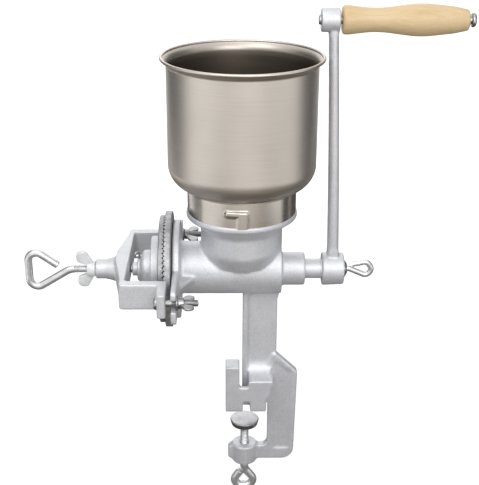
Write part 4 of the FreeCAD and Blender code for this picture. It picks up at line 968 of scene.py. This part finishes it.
def floor_material():
    """A grey floor that glows white for the camera and reflections, less so near the object."""
    material = bpy.data.materials.new("floor")
    material.use_nodes = True
    tree = material.node_tree
    tree.nodes.clear()
    place = add_node(tree, "ShaderNodeTexCoord")
    distance = add_node(tree, "ShaderNodeVectorMath", operation="LENGTH")
    tree.links.new(place.outputs["Object"], distance.inputs[0])
    level = add_node(tree, "ShaderNodeMapRange", interpolation_type="SMOOTHSTEP")
    tree.links.new(distance.outputs["Value"], level.inputs["Value"])
    for key, value in (("From Min", 0.3), ("From Max", 1.2), ("To Min", 0.72), ("To Max", 0.98)):
        level.inputs[key].default_value = value
    strength = add_node(tree, "ShaderNodeMath", operation="MULTIPLY")
    tree.links.new(seen_directly(tree), strength.inputs[0])
    tree.links.new(level.outputs["Result"], strength.inputs[1])
    glow = add_node(tree, "ShaderNodeEmission")
    glow.inputs["Color"].default_value = WHITE
    tree.links.new(strength.outputs[0], glow.inputs["Strength"])
    matt = add_node(tree, "ShaderNodeBsdfDiffuse")
    matt.inputs["Color"].default_value = (0.45, 0.45, 0.45, 1)
    both = add_node(tree, "ShaderNodeAddShader")
    tree.links.new(matt.outputs[0], both.inputs[0])
    tree.links.new(glow.outputs[0], both.inputs[1])
    out = add_node(tree, "ShaderNodeOutputMaterial")
    tree.links.new(both.outputs[0], out.inputs["Surface"])
    return material


floor = new_mesh("floor", rectangle(-FLOOR_HALF, -FLOOR_HALF, FLOOR_HALF, FLOOR_HALF, FLOOR),
                 [(0, 1, 2, 3)])
paint(floor, floor_material())


def studio_world():
    """White where it is seen, and a dim fill light otherwise."""
    world = bpy.data.worlds.new("studio")
    bpy.context.scene.world = world
    world.use_nodes = True
    tree = world.node_tree
    tree.nodes.clear()
    level = add_node(tree, "ShaderNodeMapRange")
    tree.links.new(seen_directly(tree), level.inputs["Value"])
    level.inputs["To Min"].default_value = 0.46
    level.inputs["To Max"].default_value = 1.0
    back = add_node(tree, "ShaderNodeBackground")
    back.inputs["Color"].default_value = WHITE
    tree.links.new(level.outputs["Result"], back.inputs["Strength"])
    out = add_node(tree, "ShaderNodeOutputWorld")
    tree.links.new(back.outputs[0], out.inputs["Surface"])


studio_world()
TARGET = Vector((0, 0, 0.14))


def soft_box(name, place, width, height, watts):
    lamp = bpy.data.lights.new(name, "AREA")
    lamp.shape = "RECTANGLE"
    lamp.size = width
    lamp.size_y = height
    lamp.energy = watts
    item = link(name, lamp)
    item.location = place
    item.rotation_euler = (TARGET - Vector(place)).to_track_quat("-Z", "Y").to_euler()


soft_box("key", (-0.7, -1.0, 1.5), width=1.0, height=1.0, watts=8.5)
soft_box("front", (0.4, -1.45, 1.0), width=1.1, height=1.1, watts=10.5)
soft_box("top", (-0.1, 0.0, 1.7), width=1.3, height=0.9, watts=2.5)
soft_box("back", (-0.1, 1.4, 0.8), width=1.2, height=0.8, watts=2.5)

CARD_SHADE = (0.10, 0.10, 0.10)
CARD_ROUGH = 0.9
CARD_X = 0.8
CARD_BACK = 1.3
CARD_TOP = 0.9
LOW_CARD_SHADE = (0.13, 0.11, 0.095)
LOW_CARD_FRONT_SHADE = (0.75, 0.70, 0.64)
LOW_CARD_FRONT = -1.05
LOW_CARD_FADED = -0.2
LOW_CARD_RISE = 0.001


def card(name, corners, shade):
    """A card that shows in reflections alone; gives back the nodes of its material."""
    item = new_mesh(name, corners, [(0, 1, 2, 3)])
    m = Nodes(name)
    m.shader.inputs["Base Color"].default_value = (*shade, 1)
    m.shader.inputs["Roughness"].default_value = CARD_ROUGH
    paint(item, m.material)
    item.visible_camera = False
    item.visible_diffuse = False
    item.visible_shadow = False
    return m


for name, x in (("left_card", -CARD_X), ("right_card", CARD_X)):
    card(name, [(x, 0.0, FLOOR), (x, CARD_BACK, FLOOR), (x, CARD_BACK, CARD_TOP),
                (x, 0.0, CARD_TOP)], CARD_SHADE)

# The low card is pale at its front and darkens toward the object

low_card = card("low_card", rectangle(left=-0.55, front=LOW_CARD_FRONT, right=0.8, back=1.2,
                                      height=FLOOR + LOW_CARD_RISE), LOW_CARD_SHADE)
darker = low_card.fade("Y", LOW_CARD_FRONT, LOW_CARD_FADED)
darker.interpolation_type = "SMOOTHSTEP"
low_card.link(low_card.mix(darker.outputs["Result"], LOW_CARD_FRONT_SHADE, LOW_CARD_SHADE),
              low_card.shader, "Base Color")

CAMERA_PLACE = (-0.0163, -0.831, 0.5145)
LENS_PIXELS = 1000.0
FRAME_PIXELS = 485.0
SENSOR = 36.0
PITCH_DOWN = 22.8
YAW = 1.0
ROLL = 0.3
camera_data = bpy.data.cameras.new("camera")
camera_data.sensor_fit = "AUTO"
camera_data.sensor_width = SENSOR
camera_data.lens = SENSOR * LENS_PIXELS / FRAME_PIXELS
camera = link("camera", camera_data)
camera.matrix_world = (
    Matrix.Translation(CAMERA_PLACE)
    @ Matrix.Rotation(math.radians(-YAW), 4, "Z")
    @ Matrix.Rotation(math.radians(90 - PITCH_DOWN), 4, "X")
    @ Matrix.Rotation(math.radians(ROLL), 4, "Z"))
bpy.context.scene.camera = camera
bpy.context.scene.view_settings.view_transform = "Standard"
